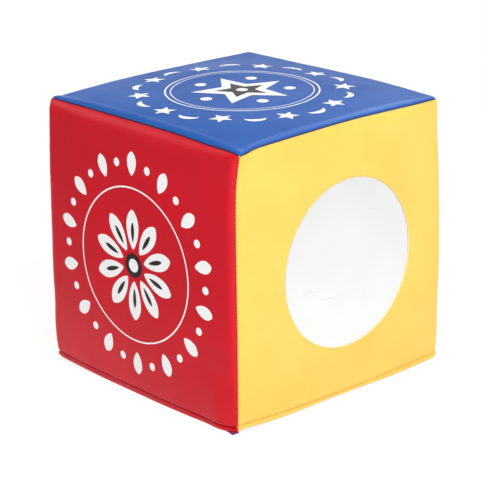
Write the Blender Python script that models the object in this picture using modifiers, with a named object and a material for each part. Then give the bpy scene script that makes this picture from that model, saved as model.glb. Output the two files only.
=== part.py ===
"""Soft play block: a foam cube in a sewn vinyl cover, with a round mirror let into one side, a
flap along the foot of each side and a zip under the back edge.

Frame: +Z up, origin on the floor under the middle of the block. -Y is the red front, +X the
side with the mirror, +Z the blue top and +Y the back, where the zip runs. Lengths are in metres.
"""

import math

import bmesh
import bpy
import numpy as np
from mathutils import Matrix, Vector

MM = 0.001
MERGE_DISTANCE = 0.001 * MM
ROOT_HALF = math.sqrt(0.5)

# Block: a cube whose edges are rounded, whose seams bow out and whose faces are crowned
CORNER_SPAN = 305 * MM
PANEL_DROP = 300 * MM
CORNER_HEIGHT = 8.8 * MM
EDGE_RADIUS = 15 * MM
CORNER_RADIUS = 7 * MM
SEAM_BOW = 4.2 * MM
BASE_BOW = 2.5 * MM
PANEL_CROWN = 4 * MM
BASE_TURN = 45.5 * MM
FOOT_BLEND = 70 * MM
RADIUS_TAPER_POWER = 4
EDGE_INSET_SHARE = 1 - math.sqrt(1 / 2)
CORNER_INSET_SHARE = 1 - math.sqrt(1 / 3)

# Where a panel's rows lie between its middle and its edge, closer where the edge rounds
ROW_SHARES = (0.0, 0.4, 0.7, 0.88, 0.96, 1.0)
HEM_ROW_SHARES = (0.0, 0.45, 0.79, 0.9, 0.955, 1.0)
ROWS = len(ROW_SHARES) - 1

# Vinyl cover and its seams, sewn inside out
VINYL = 1 * MM
CLEARANCE = 0.3 * MM
SEAM_GAP = 0.15 * MM
ALLOWANCE = 6 * MM
GROOVE_DEPTH = 0.8 * MM
GROOVE_HALF = 1 * MM
THREAD_RADIUS = 0.25 * MM
THREAD_SINK = 0.2 * MM
THREAD_SIDES_LEVEL = 1

# Flap of folded vinyl in the seam along the foot of each side
FLAP_THICKNESS = 2 * MM
FLAP_ROOT = 6 * MM
FLAP_MOUTH = 0.4 * MM
FLAP_STAND = 0.9 * MM
FLAP_BEND = 1.4 * MM
FLAP_DROP = 4.4 * MM
CREASE_OUT = 1.2 * MM
CREASE_UP = 1.05 * MM

# Mirror: a reflective film behind a round cut-out, bonded at its rim on a backing sheet
MIRROR_RADIUS = 96 * MM
MIRROR_DROP = 1.8 * MM
MIRROR_SHIFT = 3.3 * MM
MIRROR_LAP = 12 * MM
BOND_MARGIN = 1.5 * MM
BOND_THICKNESS = 0.3 * MM
FILM_THICKNESS = 0.5 * MM
BACKING_THICKNESS = 2.5 * MM
ROUND_SEGMENTS = 64

# Foam core
FOAM_GAP = 0.5 * MM
CHAMFER_DEPTH = 8.6 * MM
CHAMFER_PASSES = 3

# Zip under the back edge, set back from the corners' line
ZIP_SETBACK = 9.5 * MM
ZIP_Z = 8.1 * MM
TAPE_THICKNESS = 0.6 * MM
OUTER_TAPE_REACH = 8 * MM
INNER_TAPE_REACH = 19 * MM
OUTER_TAPE_MARGIN = 2.5 * MM
INNER_TAPE_MARGIN = 7.5 * MM
TOOTH_PITCH = 4 * MM
TOOTH_WIDTH = 2.2 * MM
TOOTH_LENGTH = 1.8 * MM
TOOTH_HEIGHT = 2.6 * MM
CHAIN_MARGIN = 22.5 * MM
SPINE_WIDTH = 1.2 * MM
CHAIN_GAP_HALF = 0.7 * MM
STOP_LENGTH = 3 * MM
STOP_LAP = 0.8 * MM
STOP_PLATE = 0.8 * MM

# Slider and its pull tab
SLIDER_LENGTH = 9 * MM
SLIDER_PLATE = 1 * MM
SLIDER_LIP = 0.8 * MM
LIP_SLOT_HALF = 0.7 * MM
SLIDER_POST_HALF = 0.4 * MM
LIP_SIDE_GAP = 0.7 * MM
BRIDGE_HALF_LENGTH = 3.5 * MM
BRIDGE_WIRE = 1 * MM
BRIDGE_WIDTH = 2.4 * MM
BRIDGE_WINDOW = 2 * MM
BRIDGE_SINK = 0.4 * MM
TAB_THICKNESS = 1 * MM
TAB_BAR = 1 * MM
TAB_LENGTH = 24 * MM
TAB_WIDTH = 6.4 * MM
TAB_TIP_WIDTH = 4.6 * MM
TAB_EYE_REACH = 4.4 * MM
TAB_EYE_HALF = 1.6 * MM

# Hem of the base panel that carries the inner tape
HEM_SETBACK = 8 * MM
HEM_RUN = 18 * MM
HEM_FLAT = 10 * MM
REBATE_ROOM = 1.5 * MM
CUT_OVERRUN = 12 * MM

HALF = Vector((
    CORNER_SPAN / 2 + CORNER_INSET_SHARE * CORNER_RADIUS,
    CORNER_SPAN / 2 + CORNER_INSET_SHARE * CORNER_RADIUS,
    PANEL_DROP / 2 + CORNER_INSET_SHARE * CORNER_RADIUS,
))
CENTRE = Vector((0, 0, CORNER_HEIGHT + PANEL_DROP / 2))
FLAT_HALF = HALF.x - BASE_TURN
MIRROR_HEIGHT = CENTRE.z - MIRROR_DROP
FLAP_GAP = FLAP_THICKNESS / 2 + CLEARANCE
ZIP_Y = CORNER_SPAN / 2 - ZIP_SETBACK
TOOTH_COUNT = round((CORNER_SPAN - 2 * CHAIN_MARGIN) / TOOTH_PITCH)
HEM_EDGE = ZIP_Y - HEM_SETBACK
HEM_HEIGHT = ZIP_Z - TAPE_THICKNESS / 2 - CLEARANCE - VINYL
HEM_START = HEM_EDGE - HEM_FLAT - HEM_RUN

X = Vector((1, 0, 0))
Y = Vector((0, 1, 0))
Z = Vector((0, 0, 1))

# Each panel's outward normal, with the directions across it and up it
PANELS = {
    "panel_front": (-Y, X, Z),
    "panel_mirror_side": (X, Y, Z),
    "panel_back": (Y, -X, Z),
    "panel_left": (-X, -Y, Z),
    "panel_top": (Z, X, Y),
    "panel_base": (-Z, X, -Y),
}
SIDES = {
    "front": PANELS["panel_front"],
    "right": PANELS["panel_mirror_side"],
    "back": PANELS["panel_back"],
    "left": PANELS["panel_left"],
}

# Each material's colour, roughness and metallic value
RED = ((0.58, 0.035, 0.045), 0.45, 0.0)
YELLOW = ((0.95, 0.68, 0.14), 0.45, 0.0)
BLUE = ((0.03, 0.11, 0.45), 0.45, 0.0)
PURPLE = ((0.2, 0.05, 0.27), 0.45, 0.0)
GREEN = ((0.06, 0.36, 0.1), 0.45, 0.0)
ORANGE = ((0.85, 0.24, 0.03), 0.45, 0.0)
MIRROR = ((0.9, 0.91, 0.92), 0.06, 1.0)
ADHESIVE = ((0.8, 0.79, 0.74), 0.5, 0.0)
BACKING = ((0.85, 0.85, 0.83), 0.6, 0.0)
FOAM = ((0.82, 0.8, 0.7), 0.95, 0.0)
THREAD = ((0.1, 0.09, 0.1), 0.8, 0.0)
TAPE = ((0.09, 0.04, 0.13), 0.9, 0.0)
TEETH = ((0.05, 0.04, 0.06), 0.4, 0.0)
NICKEL = ((0.62, 0.62, 0.6), 0.3, 1.0)

PANEL_COLOURS = {
    "panel_front": RED,
    "panel_mirror_side": YELLOW,
    "panel_back": GREEN,
    "panel_left": ORANGE,
    "panel_top": BLUE,
    "panel_base": PURPLE,
}
FLAP_COLOURS = {"front": RED, "right": YELLOW, "back": GREEN, "left": ORANGE}


def clear_scene():
    for item in list(bpy.data.objects):
        bpy.data.objects.remove(item, do_unlink=True)


def new_collection(name):
    collection = bpy.data.collections.new(name)
    bpy.context.scene.collection.children.link(collection)
    return collection


def set_material(item, name, look):
    """Gives an object a Principled material with the colour, roughness and metallic value of look."""
    colour, roughness, metallic = look
    material = bpy.data.materials.get(name) or bpy.data.materials.new(name)
    material.use_nodes = True
    shader = material.node_tree.nodes["Principled BSDF"]
    shader.inputs["Base Color"].default_value = (*colour, 1)
    shader.inputs["Roughness"].default_value = roughness
    shader.inputs["Metallic"].default_value = metallic
    item.data.materials.clear()
    item.data.materials.append(material)


def add_mesh(name, form, collection):
    """Makes an object from a bmesh and frees the bmesh."""
    mesh = bpy.data.meshes.new(name)
    form.to_mesh(mesh)
    form.free()
    item = bpy.data.objects.new(name, mesh)
    collection.objects.link(item)
    return item


def as_cutter(item):
    item.hide_render = True
    item.display_type = "WIRE"
    return item


def add_boolean(item, cutter, operation):
    modifier = item.modifiers.new(operation.title(), "BOOLEAN")
    modifier.operation = operation
    modifier.solver = "EXACT"
    modifier.object = cutter


def add_solidify(item, thickness, offset):
    """Thickens an open sheet; offset -1 puts the thickness under the sheet's outer face."""
    modifier = item.modifiers.new("Thickness", "SOLIDIFY")
    modifier.thickness = thickness
    modifier.offset = offset
    modifier.use_even_offset = True


def smooth(share):
    share = min(max(share, 0.0), 1.0)
    return share * share * (3 - 2 * share)


def rounding(shares):
    """The radius that rounds the edge nearest to a place: wide at mid-edge, tight at the corners
    and along the foot."""
    along = min(abs(share) for share in shares)
    lift = smooth((shares.z + 1) * HALF.z / FOOT_BLEND)
    return CORNER_RADIUS + (EDGE_RADIUS - CORNER_RADIUS) * (1 - along**RADIUS_TAPER_POWER) * lift


def bulge(shares):
    """How far a place stands out: nothing at a corner, the bow at mid-edge, bow and crown at mid-face."""
    result = Vector()
    for axis in range(3):
        first, second = (shares[other] ** 2 for other in range(3) if other != axis)
        bow = BASE_BOW if axis == 2 and shares.z < 0 else SEAM_BOW
        stand = bow * (1 - first * second) + PANEL_CROWN * (1 - first) * (1 - second)
        result[axis] = shares[axis] * stand
    return result


def surface_point(shares, inset=0.0):
    """The block's surface, or a layer lying inset under it, at a place on a cube of half side 1."""
    radius = rounding(shares)
    cube = Vector(share * half for share, half in zip(shares, HALF))
    core = Vector(math.copysign(min(abs(c), half - radius), c) for c, half in zip(cube, HALF))
    outward = (cube - core).normalized()
    point = CENTRE + core + outward * (radius - inset) + bulge(shares)
    if shares.z == -1:
        reach = max(abs(cube.x), abs(cube.y))
        rise = smooth((reach - FLAT_HALF) / (HALF.x - FLAT_HALF))
        point.z = inset + (point.z - inset) * rise
    return point


def row_share(position, table=ROW_SHARES):
    """Turns an even place from -1 to 1 into the place of the panel's row there."""
    places = np.linspace(0, 1, len(table))
    return math.copysign(float(np.interp(abs(position), places, table)), position)


def snapped(position, cells):
    """The exact share of a grid place that 32-bit numbers hold a little off."""
    return round((position + 1) * cells / 2) * 2 / cells - 1


def seam_gap(first, second):
    """Half of the room between two panels in their seam: the foot's seams hold the flap too."""
    return FLAP_GAP if -Z in (first, second) else SEAM_GAP


def turned_in(point, normal, edges, depth, set_back):
    """Moves a seam place back from the planes between a panel and its neighbours, and down along
    them. edges gives each neighbour's direction with the share of the way to its seam; the share
    below 1 draws a place along the seam in step with the corner, so the allowance's corner mitres."""
    gaps = [seam_gap(normal, beyond) + set_back for beyond, _ in edges]
    common = (max(gap for gap, (_, share) in zip(gaps, edges) if share == 1) - depth) * ROOT_HALF
    point = point + normal * common
    for (beyond, share), gap in zip(edges, gaps):
        point = point + beyond * share * (common - gap * math.sqrt(2))
    return point


def hem_height(y):
    return HEM_HEIGHT * smooth((y - HEM_START) / HEM_RUN)


def panel_point(name, u, v, stage):
    """A place on a panel's outer face: stage 0 is the face, 1 the seam's bottom, 2 the allowance's end."""
    normal, across, up = PANELS[name]
    hemmed = name == "panel_base" and v < 0
    shares = normal + across * row_share(u) + up * row_share(v)
    if hemmed:
        y = HEM_EDGE * row_share(-v, HEM_ROW_SHARES)
        shares.y = y / HALF.y
    point = surface_point(shares)
    if hemmed:
        point.y = y
        point.z = max(point.z, hem_height(y))
    edges = [(across * math.copysign(1, u), abs(row_share(u)))]
    if not hemmed:
        edges.append((up * math.copysign(1, v), abs(row_share(v))))
    if any(share == 1 for _, share in edges):
        depth = 0.0 if stage == 0 else GROOVE_DEPTH + ALLOWANCE * (stage - 1)
        set_back = GROOVE_HALF if stage == 0 else 0.0
        point = turned_in(point, normal, edges, depth, set_back)
    return point


def make_panel(name, collection):
    """One panel of the cover, with its seam allowance turned in round the edge."""
    form = bmesh.new()
    stage = form.verts.layers.int.new("stage")
    bmesh.ops.create_grid(form, x_segments=2 * ROWS, y_segments=2 * ROWS, size=1)
    for vert in form.verts:
        vert.co.x = snapped(vert.co.x, 2 * ROWS)
        vert.co.y = snapped(vert.co.y, 2 * ROWS)
    for step in (1, 2):
        edges = [edge for edge in form.edges if edge.is_boundary]
        if name == "panel_base":
            edges = [edge for edge in edges if any(vert.co.y > -1 for vert in edge.verts)]
            edges = [edge for edge in edges if len({vert[stage] for vert in edge.verts}) == 1]
        made = bmesh.ops.extrude_edge_only(form, edges=edges)["geom"]
        for vert in (item for item in made if isinstance(item, bmesh.types.BMVert)):
            vert[stage] = step
    for vert in form.verts:
        vert.co = panel_point(name, vert.co.x, vert.co.y, vert[stage])
    bmesh.ops.recalc_face_normals(form, faces=form.faces)
    normal = PANELS[name][0]
    form.normal_update()
    middle = min(form.faces, key=lambda face: -face.calc_center_median().dot(normal))
    if middle.normal.dot(normal) < 0:
        bmesh.ops.reverse_faces(form, faces=form.faces)
    item = add_mesh(name, form, collection)
    add_solidify(item, VINYL, -1)
    set_material(item, name, PANEL_COLOURS[name])
    return item


def round_cutter(name, radius, cutters):
    """A cylinder along X at the mirror's centre, long enough to cut the whole side."""
    bpy.ops.mesh.primitive_cylinder_add(
        vertices=ROUND_SEGMENTS,
        radius=radius,
        depth=2 * CUT_OVERRUN,
        location=(HALF.x, MIRROR_SHIFT, MIRROR_HEIGHT),
        rotation=(0, math.pi / 2, 0),
    )
    item = bpy.context.object
    item.name = name
    for owner in list(item.users_collection):
        owner.objects.unlink(item)
    cutters.objects.link(item)
    return as_cutter(item)


def face_layer(name, inset, thickness, collection):
    """A curved square layer that lies inset under the mirror side's outer face."""
    normal, across, up = PANELS["panel_mirror_side"]
    form = bmesh.new()
    bmesh.ops.create_grid(form, x_segments=2 * ROWS, y_segments=2 * ROWS, size=1)
    keep = ROW_SHARES[-2]
    for vert in form.verts:
        u = min(max(row_share(snapped(vert.co.x, 2 * ROWS)), -keep), keep)
        v = min(max(row_share(snapped(vert.co.y, 2 * ROWS)), -keep), keep)
        vert.co = surface_point(normal + across * u + up * v, inset)
    bmesh.ops.remove_doubles(form, verts=form.verts, dist=CLEARANCE)
    item = add_mesh(name, form, collection)
    add_solidify(item, thickness, -1)
    return item


def make_mirror(side_panel, collection, cutters):
    """Cuts the round opening and lays the bond ring, the film and the backing sheet behind it."""
    opening = round_cutter("mirror_opening_cutter", MIRROR_RADIUS, cutters)
    lapped = round_cutter("mirror_lap_cutter", MIRROR_RADIUS + MIRROR_LAP, cutters)
    bond_inner = round_cutter("mirror_bond_cutter", MIRROR_RADIUS + BOND_MARGIN, cutters)
    add_boolean(side_panel, opening, "DIFFERENCE")

    depth = VINYL + CLEARANCE
    ring = face_layer("mirror_bond_ring", depth, BOND_THICKNESS, collection)
    add_boolean(ring, lapped, "INTERSECT")
    add_boolean(ring, bond_inner, "DIFFERENCE")
    set_material(ring, "adhesive", ADHESIVE)

    depth += BOND_THICKNESS + CLEARANCE
    film = face_layer("mirror_film", depth, FILM_THICKNESS, collection)
    add_boolean(film, lapped, "INTERSECT")
    set_material(film, "mirror_film", MIRROR)

    depth += FILM_THICKNESS + CLEARANCE
    backing = face_layer("mirror_backing", depth, BACKING_THICKNESS, collection)
    add_boolean(backing, lapped, "INTERSECT")
    set_material(backing, "mirror_backing", BACKING)
    return depth + BACKING_THICKNESS + CLEARANCE


def plate(name, outline, thickness, matrix, collection):
    """A flat outline in its local XY plane, extruded evenly to both sides and made a closed mesh."""
    curve = bpy.data.curves.new(name, "CURVE")
    curve.dimensions = "2D"
    curve.fill_mode = "BOTH"
    curve.extrude = thickness / 2
    spline = curve.splines.new("POLY")
    spline.points.add(len(outline) - 1)
    for point, (x, y) in zip(spline.points, outline):
        point.co = (x, y, 0, 1)
    spline.use_cyclic_u = True
    sketch = bpy.data.objects.new(name + "_sketch", curve)
    bpy.context.scene.collection.objects.link(sketch)
    sketch.matrix_world = matrix
    bpy.context.view_layer.update()
    evaluated = sketch.evaluated_get(bpy.context.evaluated_depsgraph_get())
    mesh = bpy.data.meshes.new_from_object(evaluated)
    form = bmesh.new()
    form.from_mesh(mesh)
    bmesh.ops.remove_doubles(form, verts=form.verts, dist=MERGE_DISTANCE)
    bmesh.ops.recalc_face_normals(form, faces=form.faces)
    form.to_mesh(mesh)
    form.free()
    mesh.name = name
    item = bpy.data.objects.new(name, mesh)
    item.matrix_world = sketch.matrix_world
    collection.objects.link(item)
    bpy.data.objects.remove(sketch, do_unlink=True)
    return item


def make_foam(recess_depth, collection, cutters):
    """The foam cube, its edges cut back for the seam allowances, let in for the mirror and the zip."""
    form = bmesh.new()
    bmesh.ops.create_cube(form, size=2)
    bmesh.ops.subdivide_edges(form, edges=form.edges, cuts=2 * ROWS - 1, use_grid_fill=True)
    inset = VINYL + FOAM_GAP
    for vert in form.verts:
        shares = Vector(row_share(snapped(place, 2 * ROWS)) for place in vert.co)
        vert.co = chamfered(surface_point(shares, inset), shares)
    bmesh.ops.recalc_face_normals(form, faces=form.faces)
    foam = add_mesh("foam_core", form, collection)
    set_material(foam, "foam", FOAM)

    recess = face_layer("mirror_recess_cutter", -CUT_OVERRUN, CUT_OVERRUN + recess_depth, cutters)
    rim = MIRROR_RADIUS + MIRROR_LAP + FOAM_GAP
    outside = round_cutter("mirror_rim_cutter", rim, cutters)
    outside.scale.z = (recess_depth + CUT_OVERRUN) / CUT_OVERRUN
    add_boolean(recess, outside, "INTERSECT")
    add_boolean(foam, as_cutter(recess), "DIFFERENCE")

    top = ZIP_Z + slider_half_height() + REBATE_ROOM
    outline = [
        (HEM_START - REBATE_ROOM, -CUT_OVERRUN),
        (HEM_START - REBATE_ROOM, VINYL + FOAM_GAP + REBATE_ROOM),
        (HEM_START + HEM_RUN / 2, top),
        (HALF.y + CUT_OVERRUN, top),
        (HALF.y + CUT_OVERRUN, -CUT_OVERRUN),
    ]
    across_x = Matrix(((0, 0, 1), (1, 0, 0), (0, 1, 0))).to_4x4()
    rebate = plate("zip_rebate_cutter", outline, 2 * (HALF.x + CUT_OVERRUN), across_x, cutters)
    add_boolean(foam, as_cutter(rebate), "DIFFERENCE")
    return foam


def chamfered(point, shares):
    """Cuts the cube's edges back to a plane square to each seam, clear of the allowances."""
    point = point - CENTRE
    for _ in range(CHAMFER_PASSES):
        for first, second in ((0, 1), (1, 2), (0, 2)):
            edge = Vector(shares)
            edge[first] = math.copysign(1, shares[first])
            edge[second] = math.copysign(1, shares[second])
            seam = surface_point(edge) - CENTRE
            limit = abs(seam[first]) + abs(seam[second]) - CHAMFER_DEPTH / ROOT_HALF
            excess = abs(point[first]) + abs(point[second]) - limit
            if excess > 0:
                point[first] = math.copysign(abs(point[first]) - excess / 2, point[first])
                point[second] = math.copysign(abs(point[second]) - excess / 2, point[second])
    return point + CENTRE


def flap_section():
    """The flap's outline out from the side and up from its seam, in order round the fold."""
    half = FLAP_THICKNESS / 2
    slant = half * ROOT_HALF
    root = FLAP_ROOT * ROOT_HALF
    mouth = FLAP_MOUTH * ROOT_HALF
    return [
        (-root + slant, root + slant),
        (mouth + slant, -mouth + slant),
        (FLAP_STAND + half, -FLAP_BEND + slant),
        (FLAP_STAND + half, -FLAP_DROP + half / 2),
        (FLAP_STAND + half / 2, -FLAP_DROP),
        (FLAP_STAND - half / 2, -FLAP_DROP),
        (FLAP_STAND - half, -FLAP_DROP + half / 2),
        (FLAP_STAND - half, -FLAP_BEND - slant / 2),
        (mouth - slant, -mouth - slant),
        (-root - slant, root - slant),
    ]


def stations():
    """The rows along an edge, from one corner to the other."""
    return [-share for share in reversed(ROW_SHARES[1:])] + list(ROW_SHARES)


def make_flap(side, collection):
    """One side's folded flap: its section lofted along the seam, mitred where it meets the next side."""
    normal, across, _ = SIDES[side]
    section = flap_section()
    count = len(section)
    places = stations()
    form = bmesh.new()
    bmesh.ops.create_grid(form, x_segments=len(places) - 1, y_segments=count, size=1)
    for vert in form.verts:
        place = places[round((vert.co.x + 1) / 2 * (len(places) - 1))]
        out, rise = section[round((vert.co.y + 1) / 2 * count) % count]
        seam = surface_point(normal + across * place - Z)
        mitre = place * (out - SEAM_GAP / ROOT_HALF)
        vert.co = seam + normal * out + across * mitre + Z * rise
    bmesh.ops.remove_doubles(form, verts=form.verts, dist=MERGE_DISTANCE)
    bmesh.ops.holes_fill(form, edges=form.edges, sides=0)
    bmesh.ops.recalc_face_normals(form, faces=form.faces)
    item = add_mesh("flap_" + side, form, collection)
    set_material(item, "flap_" + side, FLAP_COLOURS[side])
    return item


def thread(name, points, closed, collection):
    """A run of sewing thread along a seam."""
    curve = bpy.data.curves.new(name, "CURVE")
    curve.dimensions = "3D"
    curve.bevel_depth = THREAD_RADIUS
    curve.bevel_resolution = THREAD_SIDES_LEVEL
    curve.use_fill_caps = True
    spline = curve.splines.new("POLY")
    spline.points.add(len(points) - 1)
    for point, place in zip(spline.points, points):
        point.co = (*place, 1)
    spline.use_cyclic_u = closed
    item = bpy.data.objects.new(name, curve)
    collection.objects.link(item)
    set_material(item, "thread", THREAD)
    return item


def seam_place(shares, sink):
    """A place in the groove of a seam, sunk below the seam's mouth."""
    inward = Vector(-share if abs(share) == 1 else 0.0 for share in shares)
    return surface_point(shares) + inward * (sink * ROOT_HALF)


def make_threads(collection):
    """The thread of the four upright seams, of the loop round the top and of the crease at the foot."""
    corners = {"front_left": (-1, -1), "front_right": (1, -1), "back_right": (1, 1), "back_left": (-1, 1)}
    for name, (x, y) in corners.items():
        run = [seam_place(Vector((x, y, z)), THREAD_SINK) for z in stations()[1:-1]]
        thread("seam_thread_" + name, run, False, collection)
    top = []
    foot = []
    for normal, across, up in SIDES.values():
        for place in stations()[:-1]:
            top.append(seam_place(normal + across * place + up, THREAD_SINK))
            seam = surface_point(normal + across * place - up)
            corner = across * (place * CREASE_OUT) if abs(place) == 1 else Vector()
            foot.append(seam + normal * CREASE_OUT + corner + up * CREASE_UP)
    thread("seam_thread_top", top, True, collection)
    thread("seam_thread_foot", foot, True, collection)


def box(name, low, high, collection):
    """A box between two opposite corners."""
    low, high = Vector(low), Vector(high)
    bpy.ops.mesh.primitive_cube_add(size=1, location=(low + high) / 2)
    item = bpy.context.object
    item.name = name
    item.scale = high - low
    bpy.ops.object.transform_apply(location=False, rotation=False, scale=True)
    for owner in list(item.users_collection):
        owner.objects.unlink(item)
    collection.objects.link(item)
    return item


def spine_edge():
    return CHAIN_GAP_HALF + TOOTH_LENGTH + SPINE_WIDTH


def chain_half_length():
    return TOOTH_COUNT * TOOTH_PITCH / 2


def slider_half_height():
    return TOOTH_HEIGHT / 2 + CLEARANCE + SLIDER_PLATE


def comb(name, direction, offset, collection):
    """One strip of zip teeth: a spine with a tooth at each pitch, facing the middle of the chain."""
    half = chain_half_length()
    back = spine_edge()
    root = CHAIN_GAP_HALF + TOOTH_LENGTH
    outline = [(half, direction * back), (-half, direction * back), (-half, direction * root)]
    for number in range(TOOTH_COUNT):
        middle = -half + (number + 0.5) * TOOTH_PITCH + offset
        near, far = middle - TOOTH_WIDTH / 2, middle + TOOTH_WIDTH / 2
        outline.append((near, direction * root))
        outline.append((near, direction * CHAIN_GAP_HALF))
        outline.append((far, direction * CHAIN_GAP_HALF))
        outline.append((far, direction * root))
    outline.append((half, direction * root))
    item = plate(name, outline, TOOTH_HEIGHT, Matrix.Translation((0, ZIP_Y, ZIP_Z)), collection)
    set_material(item, "zip_teeth", TEETH)
    return item


def make_zip_chain(collection):
    """The two tapes, the two strips of teeth and the stop at each end."""
    edge = spine_edge() + CLEARANCE
    low, high = ZIP_Z - TAPE_THICKNESS / 2, ZIP_Z + TAPE_THICKNESS / 2
    outer_half = CORNER_SPAN / 2 - OUTER_TAPE_MARGIN
    inner_half = CORNER_SPAN / 2 - INNER_TAPE_MARGIN
    outer = box(
        "zip_tape_outer",
        (-outer_half, ZIP_Y + edge, low),
        (outer_half, ZIP_Y + OUTER_TAPE_REACH, high),
        collection,
    )
    inner = box(
        "zip_tape_inner",
        (-inner_half, ZIP_Y - INNER_TAPE_REACH, low),
        (inner_half, ZIP_Y - edge, high),
        collection,
    )
    for tape in (outer, inner):
        set_material(tape, "zip_tape", TAPE)
    comb("zip_teeth_outer", 1, TOOTH_PITCH / 4, collection)
    comb("zip_teeth_inner", -1, -TOOTH_PITCH / 4, collection)

    web = spine_edge()
    lap = edge + STOP_LAP
    slot = TAPE_THICKNESS / 2 + CLEARANCE
    cap = slot + STOP_PLATE
    section = [(-lap, -cap), (lap, -cap), (lap, -slot), (web, -slot), (web, slot), (lap, slot),
               (lap, cap), (-lap, cap), (-lap, slot), (-web, slot), (-web, -slot), (-lap, -slot)]
    for name, sign in (("zip_stop_closed_end", -1), ("zip_stop_open_end", 1)):
        place = sign * (chain_half_length() + CLEARANCE + STOP_LENGTH / 2)
        stop = plate(name, section, STOP_LENGTH, zip_section_matrix(place), collection)
        set_material(stop, "zip_metal", NICKEL)


def zip_section_matrix(x):
    """Stands an outline in the plane across the zip at x: its X axis runs along Y, its Y axis up."""
    turn = Matrix(((0, 0, 1), (1, 0, 0), (0, 1, 0))).to_4x4()
    return Matrix.Translation((x, ZIP_Y, ZIP_Z)) @ turn


def slider_rest_x():
    """Where the closed slider stands: its end meets the stop with the clearance between."""
    return -chain_half_length() + SLIDER_LENGTH / 2


def make_slider(collection, cutters):
    """The slider: two plates joined by a post, lips that grip the tapes and a bridge for the tab."""
    lip_in = spine_edge() + LIP_SIDE_GAP
    lip_out = lip_in + SLIDER_LIP
    low = TOOTH_HEIGHT / 2 + CLEARANCE
    high = slider_half_height()
    post = SLIDER_POST_HALF
    slot = LIP_SLOT_HALF
    quarter = [(lip_out, slot), (lip_out, high)]
    channel = [(post, low), (lip_in, low), (lip_in, slot)]
    section = channel + quarter
    section += [(-y, z) for y, z in reversed(channel + quarter)]
    section += [(-y, -z) for y, z in channel + quarter]
    section += [(y, -z) for y, z in reversed(channel + quarter)]
    x = slider_rest_x()
    body = plate("zip_slider", section, SLIDER_LENGTH, zip_section_matrix(x), collection)

    reach = BRIDGE_HALF_LENGTH
    window = reach - BRIDGE_WIRE
    bottom = -high - BRIDGE_WINDOW
    sunk = -high + BRIDGE_SINK
    arch = [(-reach, sunk), (-reach, bottom - BRIDGE_WIRE), (reach, bottom - BRIDGE_WIRE), (reach, sunk),
            (window, sunk), (window, bottom), (-window, bottom), (-window, sunk)]
    upright = Matrix(((1, 0, 0), (0, 0, -1), (0, 1, 0))).to_4x4()
    matrix = Matrix.Translation((x, ZIP_Y, ZIP_Z)) @ upright
    bridge = plate("zip_bridge_cutter", arch, BRIDGE_WIDTH, matrix, cutters)
    add_boolean(body, as_cutter(bridge), "UNION")
    set_material(body, "zip_metal", NICKEL)
    return body


def make_tab(collection, cutters):
    """The pull tab, hung in the bridge by the bar beyond its eye; its origin is on the hinge axis."""
    axis_z = ZIP_Z - slider_half_height() - BRIDGE_WINDOW / 2
    half, tip = TAB_WIDTH / 2, TAB_TIP_WIDTH / 2
    bar = TAB_BAR / 2
    chamfer = (half - tip) / 2
    neck = TAB_EYE_REACH + bar
    outline = [(-bar, -half), (neck, -half), (TAB_LENGTH - chamfer, -tip), (TAB_LENGTH, -tip + chamfer),
               (TAB_LENGTH, tip - chamfer), (TAB_LENGTH - chamfer, tip), (neck, half), (-bar, half)]
    place = Matrix.Translation((slider_rest_x(), ZIP_Y, axis_z))
    tab = plate("zip_pull_tab", outline, TAB_THICKNESS, place, collection)
    low = (slider_rest_x() + bar, ZIP_Y - TAB_EYE_HALF, axis_z - TAB_THICKNESS)
    high = (slider_rest_x() + TAB_EYE_REACH, ZIP_Y + TAB_EYE_HALF, axis_z + TAB_THICKNESS)
    eye = box("zip_tab_eye_cutter", low, high, cutters)
    add_boolean(tab, as_cutter(eye), "DIFFERENCE")
    set_material(tab, "zip_metal", NICKEL)
    return tab


def main():
    clear_scene()
    block = new_collection("soft_play_block")
    cutters = new_collection("soft_play_block_cutters")
    panels = {name: make_panel(name, block) for name in PANELS}
    recess_depth = make_mirror(panels["panel_mirror_side"], block, cutters)
    make_foam(recess_depth, block, cutters)
    for side in SIDES:
        make_flap(side, block)
    make_threads(block)
    make_zip_chain(block)
    slider = make_slider(block, cutters)
    tab = make_tab(block, cutters)
    bpy.context.view_layer.update()
    tab.parent = slider
    tab.matrix_parent_inverse = slider.matrix_world.inverted()


main()
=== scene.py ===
"""Looks of a soft play block: six panels of coated cloth sewn round a foam cube, a round mirror
in one side, printed badges on the others and a zip under the back edge."""

import logging
import math
from collections.abc import Callable, Iterable
from dataclasses import dataclass, field, replace
from enum import Enum

import bmesh
import bpy
from mathutils import Matrix, Vector, noise


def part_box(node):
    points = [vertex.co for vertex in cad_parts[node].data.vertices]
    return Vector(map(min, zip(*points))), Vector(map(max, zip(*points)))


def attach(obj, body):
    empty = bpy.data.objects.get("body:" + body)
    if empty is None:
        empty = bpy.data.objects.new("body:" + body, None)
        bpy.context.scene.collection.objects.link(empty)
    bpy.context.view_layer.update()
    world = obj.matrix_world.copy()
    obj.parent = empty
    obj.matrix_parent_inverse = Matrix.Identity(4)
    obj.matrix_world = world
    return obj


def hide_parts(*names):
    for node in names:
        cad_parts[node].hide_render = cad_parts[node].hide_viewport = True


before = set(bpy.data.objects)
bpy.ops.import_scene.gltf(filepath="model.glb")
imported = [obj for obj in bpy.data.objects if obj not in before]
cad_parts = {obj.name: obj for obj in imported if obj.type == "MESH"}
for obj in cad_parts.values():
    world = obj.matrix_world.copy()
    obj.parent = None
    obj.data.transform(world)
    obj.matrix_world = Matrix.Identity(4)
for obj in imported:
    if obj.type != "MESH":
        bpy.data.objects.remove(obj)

log = logging.getLogger("soft_play_block")
MM = 0.001
ROOT_HALF = math.sqrt(0.5)
X, Y, Z = Vector((1, 0, 0)), Vector((0, 1, 0)), Vector((0, 0, 1))
Colour = tuple[float, float, float]
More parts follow.
